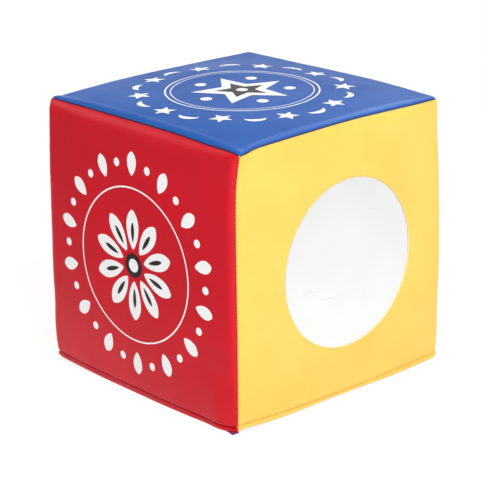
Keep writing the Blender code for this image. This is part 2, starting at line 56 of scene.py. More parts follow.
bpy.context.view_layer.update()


def eased(share: float) -> float:
    """A smooth step from 0 to 1."""
    share = min(max(share, 0.0), 1.0)
    return share * share * (3 - 2 * share)


def hill(distance: float, width: float) -> float:
    """A smooth hump: 1 in its middle, and near 0 beyond twice its width."""
    return math.exp(-((distance / width) ** 2))


def ripple(point: Vector, seed: float) -> float:
    """A smooth noise from about -1 to 1 at a place, with its own seed."""
    return noise.noise(point + Vector((seed, 7.3 * seed, -3.1 * seed)))


# ---------------------------------------------------------------- the block's shape


@dataclass(frozen=True)
class BlockForm:
    """The stuffed cube: where its skin lies for a place on a cube of half side 1."""

    half: Vector = field(default_factory=lambda: Vector((155.46 * MM, 155.46 * MM, 152.96 * MM)))
    centre: Vector = field(default_factory=lambda: Vector((0, 0, 158.8 * MM)))
    edge_radius: float = 15 * MM
    corner_radius: float = 7 * MM
    taper_power: int = 4
    foot_blend: float = 70 * MM
    seam_bow: float = 4.2 * MM
    base_bow: float = 2.5 * MM
    crown: float = 4 * MM
    crown_power: float = 1.5
    base_turn: float = 45.5 * MM
    settle_depth: float = 0.5 * MM
    near_edge: tuple[float, float] = (143 * MM, -143 * MM)
    near_top: Vector = field(default_factory=lambda: Vector((155, -155, 312)) * MM)
    twist: float = 4.4 * MM
    twist_reach: float = 30 * MM
    tip_droop: float = 1.8 * MM
    foot_droop: float = 4.2 * MM
    foot_push: float = 3.2 * MM
    back_dip: float = 2.6 * MM
    left_dip: float = 1.75 * MM
    mirror_foot_lift: float = 0.6 * MM
    roll_core: Vector = field(default_factory=lambda: Vector((141, -141, 297)) * MM)
    roll_reach: float = 30 * MM
    front_roll: float = 3.4 * MM
    mirror_roll: float = 1.9 * MM
    mirror_spill: float = 2.5 * MM
    left_pull: float = 1.2 * MM
    back_pull: float = 1.0 * MM
    back_swell: float = 1.6 * MM

    def rounding(self, shares: Vector) -> float:
        """The radius of the rounded edge near a place: tighter at corners and at the foot."""
        along = min(abs(share) for share in shares)
        lift = eased((shares.z + 1) * self.half.z / self.foot_blend)
        swell = (1 - along**self.taper_power) * lift
        return self.corner_radius + (self.edge_radius - self.corner_radius) * swell

    def bulge(self, shares: Vector) -> Vector:
        """How far the foam pushes the skin out over the flat cube."""
        result = Vector()
        for axis in range(3):
            first, second = (shares[other] ** 2 for other in range(3) if other != axis)
            bow = self.base_bow if axis == 2 and shares.z < 0 else self.seam_bow
            dome = self.crown * (1 - first**self.crown_power) * (1 - second**self.crown_power)
            result[axis] = shares[axis] * (bow * (1 - first * second) + dome)
        return result

    def skin(self, shares: Vector, inset: float = 0.0) -> Vector:
        """A place on the skin, or on a layer under it.

        Args:
            shares: the place on a cube of half side 1.
            inset: how deep the layer lies under the skin, in metres.

        Returns:
            The place in metres.
        """
        radius = self.rounding(shares)
        cube = Vector([share * half for share, half in zip(shares, self.half)])
        core = Vector([math.copysign(min(abs(c), half - radius), c) for c, half in zip(cube, self.half)])
        outward = (cube - core).normalized()
        point = self.centre + core + outward * (radius - inset) + self.bulge(shares)
        if shares.z <= -1:
            reach = max(abs(cube.x), abs(cube.y))
            flat = self.half.x - self.base_turn
            point.z = inset + (point.z - inset) * eased((reach - flat) / self.base_turn)
        return point

    def arc(self, share: float, half: float, radius: float) -> float:
        """The distance along the skin from a seam to a share of the way out to it."""
        run = (1 - abs(share)) * half
        if run < radius:
            return radius * (math.pi / 4 - math.atan(1 - run / radius))
        return radius * math.pi / 4 + run - radius

    def share_at(self, arc: float, half: float) -> float:
        """The share of the way out to a seam at a distance along the skin from it."""
        turn = self.edge_radius * math.pi / 4
        if arc < turn:
            run = self.edge_radius * (1 - math.tan(math.pi / 4 - arc / self.edge_radius))
        else:
            run = self.edge_radius + arc - turn
        return 1 - run / half

    def give(self, point: Vector) -> Vector:
        """How the cover has slid and sagged at the near corners, where it was stuffed unevenly.

        Args:
            point: a place on the cover.

        Returns:
            The shift there: the top of the near seam slides towards the mirror's side with its
            tip drooping, the foot of the red side hangs lower and fuller towards the near corner,
            and the back and left edges of the top dip in their middles.
        """
        away = (point - self.near_top).length
        turn_x = max(point.x - self.near_edge[0], 0.0)
        turn_y = min(point.y - self.near_edge[1], 0.0)
        hold = max(math.hypot(turn_x, turn_y), 12 * MM)
        slide = self.twist * hill(away, self.twist_reach)
        droop = self.tip_droop * hill(away, 10 * MM)
        along = math.exp(-max(150 * MM - point.x, 0.0) / (85 * MM))
        along *= math.exp(-max(point.y + 153 * MM, 0.0) / (8 * MM))
        low = 1 - eased((point.z - 12 * MM) / (60 * MM))
        sag = max(self.foot_droop * along * low, 0.01 * MM)
        sag *= 1 - math.exp(-max(point.z, 0.0) / sag)
        beyond = eased((point.x + point.y + 3 * MM) / (10 * MM))
        sag *= 1 - beyond
        push = self.foot_push * eased((point.x + 40 * MM) / (140 * MM))
        push *= 1 - 0.8 * eased((point.x - 132 * MM) / (20 * MM))
        push += 2.4 * MM * hill(point.x - 130 * MM, 17 * MM)
        push *= low * eased((-140 * MM - point.y) / (12 * MM))
        lift = self.mirror_foot_lift * hill(point.y + 140 * MM, 28 * MM) * beyond
        lift *= (1 - eased(point.z / (30 * MM))) * eased((point.x - 145 * MM) / (8 * MM))
        high = eased((point.z - 270 * MM) / (38 * MM))
        dip = self.back_dip * hill(point.x + 40 * MM, 90 * MM) * eased((point.y - 80 * MM) / (60 * MM))
        dip += self.left_dip * hill(point.y - 50 * MM, 95 * MM) * eased((-point.x - 80 * MM) / (60 * MM))
        rise = lift - droop - sag - dip * high
        return Vector((-turn_y / hold * slide, turn_x / hold * slide - push, rise))

    def roll_over(self, out: float, rise: float, slide: float) -> tuple[float, float]:
        """Rolls a place of a top edge's section about the rounding's core.

        Args:
            out: how far out the place lies from the core.
            rise: how far up it lies from the core.
            slide: how far the cloth has crept up over the edge.

        Returns:
            The shifts out and up.
        """
        far = math.hypot(out - 14 * MM, rise - 14 * MM)
        slide *= hill(far, self.roll_reach)
        out, rise = max(out, 0.0), max(rise, 0.0)
        hold = max(math.hypot(out, rise), 12 * MM)
        pull = slide * slide / (2 * hold)
        return (-rise * slide - out * pull) / hold, (out * slide - rise * pull) / hold

    def creep(self, point: Vector) -> Vector:
        """How the seams round the top have crept over their edges, and how the upright edges stand.

        Args:
            point: a place on the cover.

        Returns:
            The shift there: the front's top seam has crept up and back, the mirror side's up in
            its middle and down at the near corner, and the two outer upright edges are pulled in
            or swell.
        """
        way = 155 * MM
        front = self.front_roll * (1 - 0.5 * eased((point.x - 50 * MM) / (80 * MM)))
        front *= 1 - hill(max(way - point.x, 0.0), 6 * MM)
        front += 0.8 * MM * hill(point.x + way, 8 * MM)
        side = self.mirror_roll * hill(point.y - 10 * MM, 95 * MM)
        side -= self.mirror_spill * hill(point.y + 142 * MM, 12 * MM)
        core = self.roll_core
        back, up = self.roll_over(core.y - point.y, point.z - core.z, front)
        out, over = self.roll_over(point.x - core.x, point.z - core.z, side)
        high = eased((point.z - 90 * MM) / (70 * MM))
        left = math.exp(-math.hypot(point.x + way, point.y + way) / (40 * MM))
        right = math.exp(-math.hypot(point.x - way, point.y - way) / (40 * MM))
        stand = self.left_pull * high + 1.5 * MM * hill(point.z, 14 * MM)
        stand -= 0.9 * MM * hill(point.z - 52 * MM, 22 * MM)
        left *= stand * ROOT_HALF
        swell = self.back_swell * hill(point.z - 95 * MM, 70 * MM)
        right *= (swell - self.back_pull * eased((point.z - 220 * MM) / (60 * MM))) * ROOT_HALF
        return Vector((out + left + right, -back + left + right, up + over))

    def settle(self, point: Vector) -> Vector:
        """Shifts a place by the slight unevenness of hand-stuffed foam, and by the corners' give."""
        depth = self.settle_depth * eased((point.z - 12 * MM) / (40 * MM))
        at = point * 11
        uneven = Vector([ripple(at, seed) for seed in (1.7, 4.1, 8.9)]) * depth
        return point + uneven + self.give(point) + self.creep(point)


FORM = BlockForm()


class Facing(Enum):
    """A side of the block: its panel's node, and its directions outward, across and up."""

    FRONT = ("panel_front", -Y, X, Z)
    MIRROR = ("panel_mirror_side", X, Y, Z)
    BACK = ("panel_back", Y, -X, Z)
    LEFT = ("panel_left", -X, -Y, Z)
    TOP = ("panel_top", Z, X, Y)
    BASE = ("panel_base", -Z, X, -Y)

    @property
    def node(self) -> str:
        """The name of the panel's node."""
        return self.value[0]

    @property
    def axes(self) -> tuple[Vector, Vector, Vector]:
        """The directions outward, across and up."""
        return self.value[1], self.value[2], self.value[3]

    def halves(self) -> tuple[float, float]:
        """The block's half sizes across and up this side."""
        _, across, up = self.axes
        return abs(FORM.half.dot(across)), abs(FORM.half.dot(up))


SIDES = (Facing.FRONT, Facing.MIRROR, Facing.BACK, Facing.LEFT)


class Seam(Enum):
    """Where on the block a seam runs."""

    FOOT = "foot"
    TOP = "top"
    UPRIGHT = "upright"


# ---------------------------------------------------------------- shader benches and groups


class Bench:
    """A node tree with short ways to add nodes, set their sockets and join them."""

    def __init__(self, tree: bpy.types.NodeTree) -> None:
        """Takes the tree to work on."""
        self.tree = tree

    def add(self, kind: str, **values: object) -> bpy.types.Node:
        """Adds a node.

        Args:
            kind: the node's type name.
            values: its properties by name, and its inputs by name with _ for spaces.

        Returns:
            The node.
        """
        node = self.tree.nodes.new(kind)
        properties = {k: v for k, v in values.items() if k in node.bl_rna.properties}
        for key, value in properties.items():
            setattr(node, key, value)
        for key, value in values.items():
            if key not in properties:
                self.feed(node.inputs[key.replace("_", " ")], value)
        return node

    def feed(self, socket: bpy.types.NodeSocket, value: object) -> None:
        """Joins an output to a socket, or sets the socket's own value."""
        if isinstance(value, bpy.types.NodeSocket):
            self.tree.links.new(value, socket)
        else:
            socket.default_value = value

    def maths(self, operation: str, *values: object, clamp: bool = False) -> bpy.types.NodeSocket:
        """A Math node's result."""
        node = self.tree.nodes.new("ShaderNodeMath")
        node.operation = operation
        node.use_clamp = clamp
        for socket, value in zip(node.inputs, values):
            self.feed(socket, value)
        return node.outputs[0]

    def ramp(
        self, value: object, low: float, high: float, start: float = 0.0, end: float = 1.0
    ) -> bpy.types.NodeSocket:
        """A smooth step of a value from low to high."""
        node = self.add("ShaderNodeMapRange", interpolation_type="SMOOTHSTEP")
        names = ("Value", "From Min", "From Max", "To Min", "To Max")
        for name, item in zip(names, (value, low, high, start, end)):
            self.feed(node.inputs[name], item)
        return node.outputs["Result"]

    def blend(self, share: object, first: object, second: object) -> bpy.types.NodeSocket:
        """A mix of two colours."""
        node = self.tree.nodes.new("ShaderNodeMix")
        node.data_type = "RGBA"
        for socket, value in ((node.inputs[0], share), (node.inputs[6], first), (node.inputs[7], second)):
            if isinstance(value, tuple) and len(value) == 3:
                value = (*value, 1.0)
            self.feed(socket, value)
        return node.outputs[2]

    def use(self, group: bpy.types.NodeTree, **values: object) -> bpy.types.Node:
        """Places a node group and feeds its inputs by name."""
        node = self.tree.nodes.new("ShaderNodeGroup")
        node.node_tree = group
        for key, value in values.items():
            self.feed(node.inputs[key.replace("_", " ")], value)
        return node


def new_group(
    name: str, inputs: dict[str, str], outputs: dict[str, str]
) -> tuple[Bench, bpy.types.Node, bpy.types.Node]:
    """Starts a shader node group.

    Args:
        name: the group's name.
        inputs: the kind of each input socket by name.
        outputs: the kind of each output socket by name.

    Returns:
        A bench on the group, its input node and its output node.
    """
    tree = bpy.data.node_groups.new(name, "ShaderNodeTree")
    for way, sockets in (("INPUT", inputs), ("OUTPUT", outputs)):
        for label, kind in sockets.items():
            tree.interface.new_socket(label, in_out=way, socket_type=f"NodeSocket{kind}")
    return Bench(tree), tree.nodes.new("NodeGroupInput"), tree.nodes.new("NodeGroupOutput")


def grain_group() -> bpy.types.NodeTree:
    """The embossed grain of coated cloth: soft pebbles with a finer tooth over them."""
    bench, given, result = new_group(
        "vinyl_grain", {"Vector": "Vector", "Pebble": "Float"}, {"Height": "Float", "Tone": "Float"}
    )
    fine = bench.maths("DIVIDE", 1.0, given.outputs["Pebble"])
    pebbles = bench.add("ShaderNodeTexVoronoi", feature="SMOOTH_F1", Vector=given.outputs["Vector"], Scale=fine)
    finer = bench.maths("MULTIPLY", fine, 2.7)
    tooth = bench.add("ShaderNodeTexNoise", Vector=given.outputs["Vector"], Scale=finer, Detail=2.0)
    height = bench.maths("SUBTRACT", tooth.outputs["Fac"], bench.maths("MULTIPLY", pebbles.outputs["Distance"], 1.4))
    bench.feed(result.inputs["Height"], height)
    bench.feed(result.inputs["Tone"], bench.ramp(height, -0.6, 0.6))
    return bench.tree


def seam_group() -> bpy.types.NodeTree:
    """Where the nearest seam of a square panel runs, from the panel's own map in metres."""
    bench, given, result = new_group(
        "seam_place", {"Cut": "Vector", "Reach": "Float", "Pitch": "Float"},
        {"Distance": "Float", "Notch": "Float", "Pucker": "Float"},
    )
    parts = bench.add("ShaderNodeSeparateXYZ", Vector=given.outputs["Cut"])
    beside = bench.maths("SUBTRACT", given.outputs["Reach"], bench.maths("ABSOLUTE", parts.outputs["X"]))
    above = bench.maths("SUBTRACT", given.outputs["Reach"], bench.maths("ABSOLUTE", parts.outputs["Y"]))
    distance = bench.maths("MINIMUM", beside, above)
    upright = bench.maths("LESS_THAN", beside, above)
    along = bench.maths(
        "ADD",
        bench.maths("MULTIPLY", parts.outputs["Y"], upright),
        bench.maths("MULTIPLY", parts.outputs["X"], bench.maths("SUBTRACT", 1.0, upright)),
    )
    phase = bench.maths("FRACT", bench.maths("DIVIDE", along, given.outputs["Pitch"]))
    swing = bench.maths("MULTIPLY", bench.maths("ABSOLUTE", bench.maths("SUBTRACT", phase, 0.5)), 2.0)
    near = bench.ramp(distance, 0.9 * MM, 2.6 * MM, 1.0, 0.0)
    bench.feed(result.inputs["Distance"], distance)
    bench.feed(result.inputs["Notch"], bench.maths("MULTIPLY", bench.ramp(swing, 0.1, 0.62, 1.0, 0.0), near))
    stretched = bench.maths("MULTIPLY", distance, 0.22)
    across = bench.add("ShaderNodeCombineXYZ", X=along, Y=stretched, Z=upright).outputs["Vector"]
    drawn = bench.add("ShaderNodeTexNoise", Vector=across, Scale=125.0, Detail=3.0, Roughness=0.6)
    reach = bench.ramp(distance, 3 * MM, 24 * MM, 1.0, 0.0)
    bench.feed(result.inputs["Pucker"], bench.maths("MULTIPLY", drawn.outputs["Fac"], reach))
    return bench.tree


def handling_group() -> bpy.types.NodeTree:
    """Uneven gloss and tone of a surface that hands have rubbed, with a few scuffs."""
    bench, given, result = new_group("handling", {"Vector": "Vector"}, {"Tone": "Float", "Scuff": "Float"})
    broad = bench.add("ShaderNodeTexNoise", Vector=given.outputs["Vector"], Scale=14.0, Detail=3.0)
    streak = bench.add(
        "ShaderNodeTexNoise", Vector=given.outputs["Vector"],
        Scale=90.0, Detail=5.0, Roughness=0.65, Distortion=0.7,
    )
    bench.feed(result.inputs["Tone"], broad.outputs["Fac"])
    bench.feed(result.inputs["Scuff"], bench.ramp(streak.outputs["Fac"], 0.62, 0.78))
    return bench.tree


def weave_group() -> bpy.types.NodeTree:
    """Plain weave: threads over and under, from a place in metres."""
    bench, given, result = new_group("plain_weave", {"Vector": "Vector", "Thread": "Float"}, {"Height": "Float"})
    turns = bench.maths("DIVIDE", math.pi, given.outputs["Thread"])
    parts = bench.add("ShaderNodeSeparateXYZ", Vector=given.outputs["Vector"])
    waves = [bench.maths("SINE", bench.maths("MULTIPLY", parts.outputs[axis], turns)) for axis in ("X", "Y")]
    bench.feed(result.inputs["Height"], bench.maths("MULTIPLY", *waves))
    return bench.tree


@dataclass
class GroupShelf:
    """The node groups, each built once."""

    grain: bpy.types.NodeTree = field(default_factory=grain_group)
    seam: bpy.types.NodeTree = field(default_factory=seam_group)
    handling: bpy.types.NodeTree = field(default_factory=handling_group)
    weave: bpy.types.NodeTree = field(default_factory=weave_group)


SHELF = GroupShelf()
SEAM_REACH = 152.5 * MM
STITCH_PITCH = 3.44 * MM


def new_material(name: str, **sockets: object) -> tuple[bpy.types.Material, Bench, bpy.types.Node]:
    """Starts a material on a Principled shader.

    Args:
        name: the material's name.
        sockets: values set on the shader's own sockets, with _ for spaces.

    Returns:
        The material, a bench on it and its shader node.
    """
    material = bpy.data.materials.new(name)
    material.use_nodes = True
    bench = Bench(material.node_tree)
    shader = material.node_tree.nodes["Principled BSDF"]
    for key, value in sockets.items():
        if isinstance(value, tuple) and len(value) == 3:
            value = (*value, 1.0)
        shader.inputs[key.replace("_", " ")].default_value = value
    return material, bench, shader


def add_bump(bench: Bench, shader: bpy.types.Node, height: object, depth: float, strength: float = 1.0) -> None:
    """Feeds a height through a Bump node into a shader's normal."""
    bump = bench.add("ShaderNodeBump", Height=height, Distance=depth, Strength=strength)
    bench.feed(shader.inputs["Normal"], bump.outputs["Normal"])


@dataclass(frozen=True)
class VinylFinish:
    """Coated cloth with a satin face: its colour, a deeper colour for its uneven tone and for the painted shade in
    its stitch notches, and its grain.
    """

    name: str
    slot: str
    colour: Colour
    # The deeper colour: mixed in by the uneven tone, and as painted shade in the stitch notches.
    deep_tone_and_shade: Colour
    roughness: float = 0.4
    pebble: float = 0.75 * MM
    grain_depth: float = 0.035 * MM
    mapped: bool = True

    def make(self) -> bpy.types.Material:
        """The material, with puckers and stitch notches along the seams of a mapped panel; painted shade darkens the
        notches.
        """
        material, bench, shader = new_material(f"{self.name}_vinyl", IOR=1.5, Specular_IOR_Level=0.25)
        place = bench.add("ShaderNodeTexCoord").outputs["Object"]
        grain = bench.use(SHELF.grain, Vector=place, Pebble=self.pebble)
        worn = bench.use(SHELF.handling, Vector=place)
        height = bench.maths("MULTIPLY", grain.outputs["Height"], self.grain_depth / (0.4 * MM))
        tone = bench.ramp(worn.outputs["Tone"], 0.3, 0.7, 0.0, 0.28)
        if self.mapped:
            cut = bench.add("ShaderNodeUVMap", uv_map="cut").outputs["UV"]
            seam = bench.use(SHELF.seam, Cut=cut, Reach=SEAM_REACH, Pitch=STITCH_PITCH)
            # Painted shade: the cloth's colour darkens in the stitch notches, where shade falls.
            tone = bench.maths("ADD", tone, bench.maths("MULTIPLY", seam.outputs["Notch"], 0.6), clamp=True)
            height = bench.maths("SUBTRACT", height, bench.maths("MULTIPLY", seam.outputs["Notch"], 1.1))
            height = bench.maths("ADD", height, bench.maths("MULTIPLY", seam.outputs["Pucker"], 0.9))
        bench.feed(shader.inputs["Base Color"], bench.blend(tone, self.colour, self.deep_tone_and_shade))
        dull = bench.maths("MULTIPLY", worn.outputs["Scuff"], 0.12)
        rough = bench.ramp(worn.outputs["Tone"], 0.3, 0.7, self.roughness - 0.03, self.roughness + 0.03)
        bench.feed(shader.inputs["Roughness"], bench.maths("ADD", rough, dull))
        add_bump(bench, shader, height, 0.4 * MM)
        return material


@dataclass(frozen=True)
class PlainFinish:
    """A finish of one colour with a fine tooth and slight unevenness."""

    name: str
    slot: str
    colour: Colour
    roughness: float = 0.5
    metallic: float = 0.0
    tooth: float = 0.5 * MM
    depth: float = 0.02 * MM
    variation: float = 0.12

    def make(self) -> bpy.types.Material:
        """The material."""
        material, bench, shader = new_material(self.name, Metallic=self.metallic)
        place = bench.add("ShaderNodeTexCoord").outputs["Object"]
        grain = bench.use(SHELF.grain, Vector=place, Pebble=self.tooth)
        worn = bench.use(SHELF.handling, Vector=place)
        shaded = tuple(part * (1 - self.variation) for part in self.colour)
        bench.feed(shader.inputs["Base Color"], bench.blend(worn.outputs["Tone"], self.colour, shaded))
        rough = bench.ramp(worn.outputs["Tone"], 0.25, 0.75, self.roughness - 0.05, self.roughness + 0.06)
        bench.feed(shader.inputs["Roughness"], rough)
        add_bump(bench, shader, grain.outputs["Height"], self.depth)
        return material


@dataclass(frozen=True)
class WovenFinish:
    """Woven tape or twisted thread, with painted shade where the threads dip under."""

    name: str
    slot: str
    colour: Colour
    thread: float = 0.45 * MM
    roughness: float = 0.85

    def make(self) -> bpy.types.Material:
        """The material."""
        material, bench, shader = new_material(self.name, Sheen_Weight=0.25)
        place = bench.add("ShaderNodeTexCoord").outputs["Object"]
        weave = bench.use(SHELF.weave, Vector=place, Thread=self.thread)
        level = bench.ramp(weave.outputs["Height"], -1.0, 1.0)
        # Painted shade: the colour darkens towards the low points of the weave.
        dark = tuple(part * 0.45 for part in self.colour)
        bench.feed(shader.inputs["Base Color"], bench.blend(level, dark, self.colour))
        rough = bench.ramp(weave.outputs["Height"], -1.0, 1.0, self.roughness + 0.1, self.roughness - 0.1)
        bench.feed(shader.inputs["Roughness"], rough)
        add_bump(bench, shader, weave.outputs["Height"], 0.12 * MM)
        return material


@dataclass(frozen=True)
class FilmFinish:
    """Metallised mirror film: nearly smooth, with a soft haze and a few faint handling creases; two creases carry
    painted shade and one a painted highlight.
    """

    name: str = "mirror_film_finish"
    slot: str = "mirror_film"
    colour: Colour = (0.885, 0.888, 0.89)
    # Two creases darkened with painted shade and one lightened with a painted highlight; all three are also sunk or
    # raised a little.
    shaded_folds: tuple[tuple[float, ...], ...] = ((-70.2, 137.2, -38.0, 135.8), (-38.8, 123.4, -18.3, 122.6))
    fold_highlight: tuple[float, ...] = (30.8, 211.9, 49.6, 204.8)
    fold_width: float = 1.1 * MM

    def fold(self, bench: Bench, parts: bpy.types.Node, ends: tuple[float, ...]) -> bpy.types.NodeSocket:
        """A mask for one faint straight crease.

        Args:
            bench: the material's bench.
            parts: the node that gives the place's coordinates.
            ends: the crease's two ends along Y and Z, in mm.

        Returns:
            The mask: 1 on the crease's line, 0 off it.
        """
        start, end = Vector(ends[:2]) * MM, Vector(ends[2:]) * MM
        way = (end - start).normalized()
        middle, half = (start + end) / 2, (end - start).length / 2
        y = bench.maths("SUBTRACT", parts.outputs["Y"], middle.x)
        z = bench.maths("SUBTRACT", parts.outputs["Z"], middle.y)
        along = bench.maths("ADD", bench.maths("MULTIPLY", y, way.x), bench.maths("MULTIPLY", z, way.y))
        beside = bench.maths("SUBTRACT", bench.maths("MULTIPLY", z, way.x), bench.maths("MULTIPLY", y, way.y))
        narrow = bench.ramp(bench.maths("ABSOLUTE", beside), 0.0, self.fold_width, 1.0, 0.0)
        return bench.maths("MULTIPLY", narrow, bench.ramp(bench.maths("ABSOLUTE", along), half * 0.4, half, 1.0, 0.0))

    def make(self) -> bpy.types.Material:
        """The material."""
        material, bench, shader = new_material(self.name, Metallic=1.0)
        place = bench.add("ShaderNodeTexCoord").outputs["Object"]
        parts = bench.add("ShaderNodeSeparateXYZ", Vector=place)
        # Painted shade along two creases, and a painted highlight along a third.
        fold_shade = bench.maths("MAXIMUM", *(self.fold(bench, parts, fold) for fold in self.shaded_folds))
        fold_highlight = self.fold(bench, parts, self.fold_highlight)
        haze = bench.add("ShaderNodeTexNoise", Vector=place, Scale=22.0, Detail=3.0)
        cloud = bench.ramp(haze.outputs["Fac"], 0.3, 0.75, 0.0, 0.25)
        # The colour darkens with the haze's uneven tone and with the painted crease shade, and the painted crease
        # highlight lightens it.
        tone = bench.maths("ADD", bench.maths("MULTIPLY", fold_shade, 0.7), cloud, clamp=True)
        tone = bench.maths("SUBTRACT", tone, bench.maths("MULTIPLY", fold_highlight, 0.6), clamp=True)
        dark = tuple(part * 0.9 for part in self.colour)
        bench.feed(shader.inputs["Base Color"], bench.blend(tone, self.colour, dark))
        bench.feed(shader.inputs["Roughness"], bench.ramp(haze.outputs["Fac"], 0.3, 0.75, 0.1, 0.2))
        folds = bench.maths("SUBTRACT", fold_highlight, fold_shade)
        height = bench.maths("ADD", folds, bench.maths("MULTIPLY", haze.outputs["Fac"], 0.6))
        add_bump(bench, shader, height, 0.15 * MM)
        return material


# The second colour of each finish is the deeper one, used for the uneven tone and for painted shade in the stitch
# notches.
RED = VinylFinish("red", "vinyl_red", (0.60, 0.0025, 0.014), (0.42, 0.001, 0.007))
YELLOW = VinylFinish("yellow", "vinyl_yellow", (0.80, 0.508, 0.102), (0.68, 0.355, 0.045))
BLUE = VinylFinish("blue", "vinyl_blue", (0.012, 0.099, 0.395), (0.006, 0.047, 0.24))
PURPLE = VinylFinish("purple", "vinyl_purple", (0.26, 0.042, 0.20), (0.13, 0.016, 0.10))
GREEN = VinylFinish("green", "vinyl_green", (0.05, 0.33, 0.09), (0.02, 0.18, 0.04))
ORANGE = VinylFinish("orange", "vinyl_orange", (0.86, 0.24, 0.025), (0.62, 0.13, 0.008))
WHITE_INK = PlainFinish("white_ink", "", (0.89, 0.89, 0.90), roughness=0.42, tooth=0.75 * MM, variation=0.05)
DARK_INK = PlainFinish("dark_ink", "", (0.032, 0.026, 0.026), roughness=0.42, tooth=0.75 * MM, variation=0.2)
CUT_EDGE = PlainFinish("cut_edge", "", (0.95, 0.87, 0.64), roughness=0.8, tooth=0.3 * MM, depth=0.06 * MM)
THREAD = WovenFinish("sewing_thread", "thread", (0.34, 0.045, 0.022), thread=0.3 * MM)
TAPE = WovenFinish("zip_tape_cloth", "zip_tape", (0.09, 0.04, 0.13), thread=0.5 * MM)
FILM = FilmFinish()
ADHESIVE = PlainFinish("adhesive_film", "adhesive", (0.80, 0.79, 0.74), roughness=0.5)
BACKING = PlainFinish("backing_sheet", "backing", (0.85, 0.85, 0.83), roughness=0.6)
FOAM = PlainFinish(
    "open_cell_foam", "foam", (0.80, 0.76, 0.62), roughness=0.95, tooth=1.6 * MM, depth=0.5 * MM
)
TEETH = PlainFinish("moulded_zip_teeth", "zip_teeth", (0.05, 0.04, 0.06), roughness=0.4)
NICKEL = PlainFinish(
    "zip_nickel", "zip_metal", (0.62, 0.61, 0.58),
    roughness=0.3, metallic=1.0, tooth=0.25 * MM, depth=0.01 * MM,
)

PANEL_FINISH = {
    Facing.FRONT: RED, Facing.MIRROR: YELLOW, Facing.BACK: GREEN,
    Facing.LEFT: ORANGE, Facing.TOP: BLUE, Facing.BASE: PURPLE,
}


class Wardrobe:
    """Makes each finish's material once and hands it out."""

    def __init__(self) -> None:
        """Starts with no material made."""
        self.made: dict[str, bpy.types.Material] = {}

    def of(self, finish: VinylFinish | PlainFinish | WovenFinish | FilmFinish) -> bpy.types.Material:
        """The finish's material."""
        if finish.name not in self.made:
            self.made[finish.name] = finish.make()
        return self.made[finish.name]


WARDROBE = Wardrobe()


# ---------------------------------------------------------------- building pieces


def bake_modifiers(piece: bpy.types.Object) -> None:
    """Replaces a piece's mesh by what its modifiers make of it."""
    result = bpy.data.meshes.new_from_object(piece.evaluated_get(bpy.context.evaluated_depsgraph_get()))
    piece.modifiers.clear()
    old, piece.data = piece.data, result
    bpy.data.meshes.remove(old)


def finish_piece(
    form: bmesh.types.BMesh, name: str, finishes: Iterable[object], body: str = "block",
    stands_for: Iterable[str] = (), wall: float = 0.0,
) -> bpy.types.Object:
    """Turns a bmesh into a smooth-shaded piece that rides on a body.

    Args:
        form: the shape, in place, freed here.
        name: the piece's name.
        finishes: its finishes, one for each material index.
        body: the body that it rides on.
        stands_for: the nodes that it replaces.
        wall: the thickness given inwards, in metres.

    Returns:
        The piece.
    """
    mesh = bpy.data.meshes.new(name)
    for face in form.faces:
        face.smooth = True
    form.to_mesh(mesh)
    form.free()
    piece = bpy.data.objects.new(name, mesh)
    bpy.context.scene.collection.objects.link(piece)
    for finish in finishes:
        mesh.materials.append(WARDROBE.of(finish))
    if wall:
        sheet = piece.modifiers.new("wall", "SOLIDIFY")
        sheet.thickness, sheet.offset, sheet.use_even_offset = wall, -1, False
        bake_modifiers(piece)
    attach(piece, body)
    if stands_for:
        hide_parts(*stands_for)
    log.info("%s: %d faces, on %s", name, len(piece.data.polygons), body)
    return piece


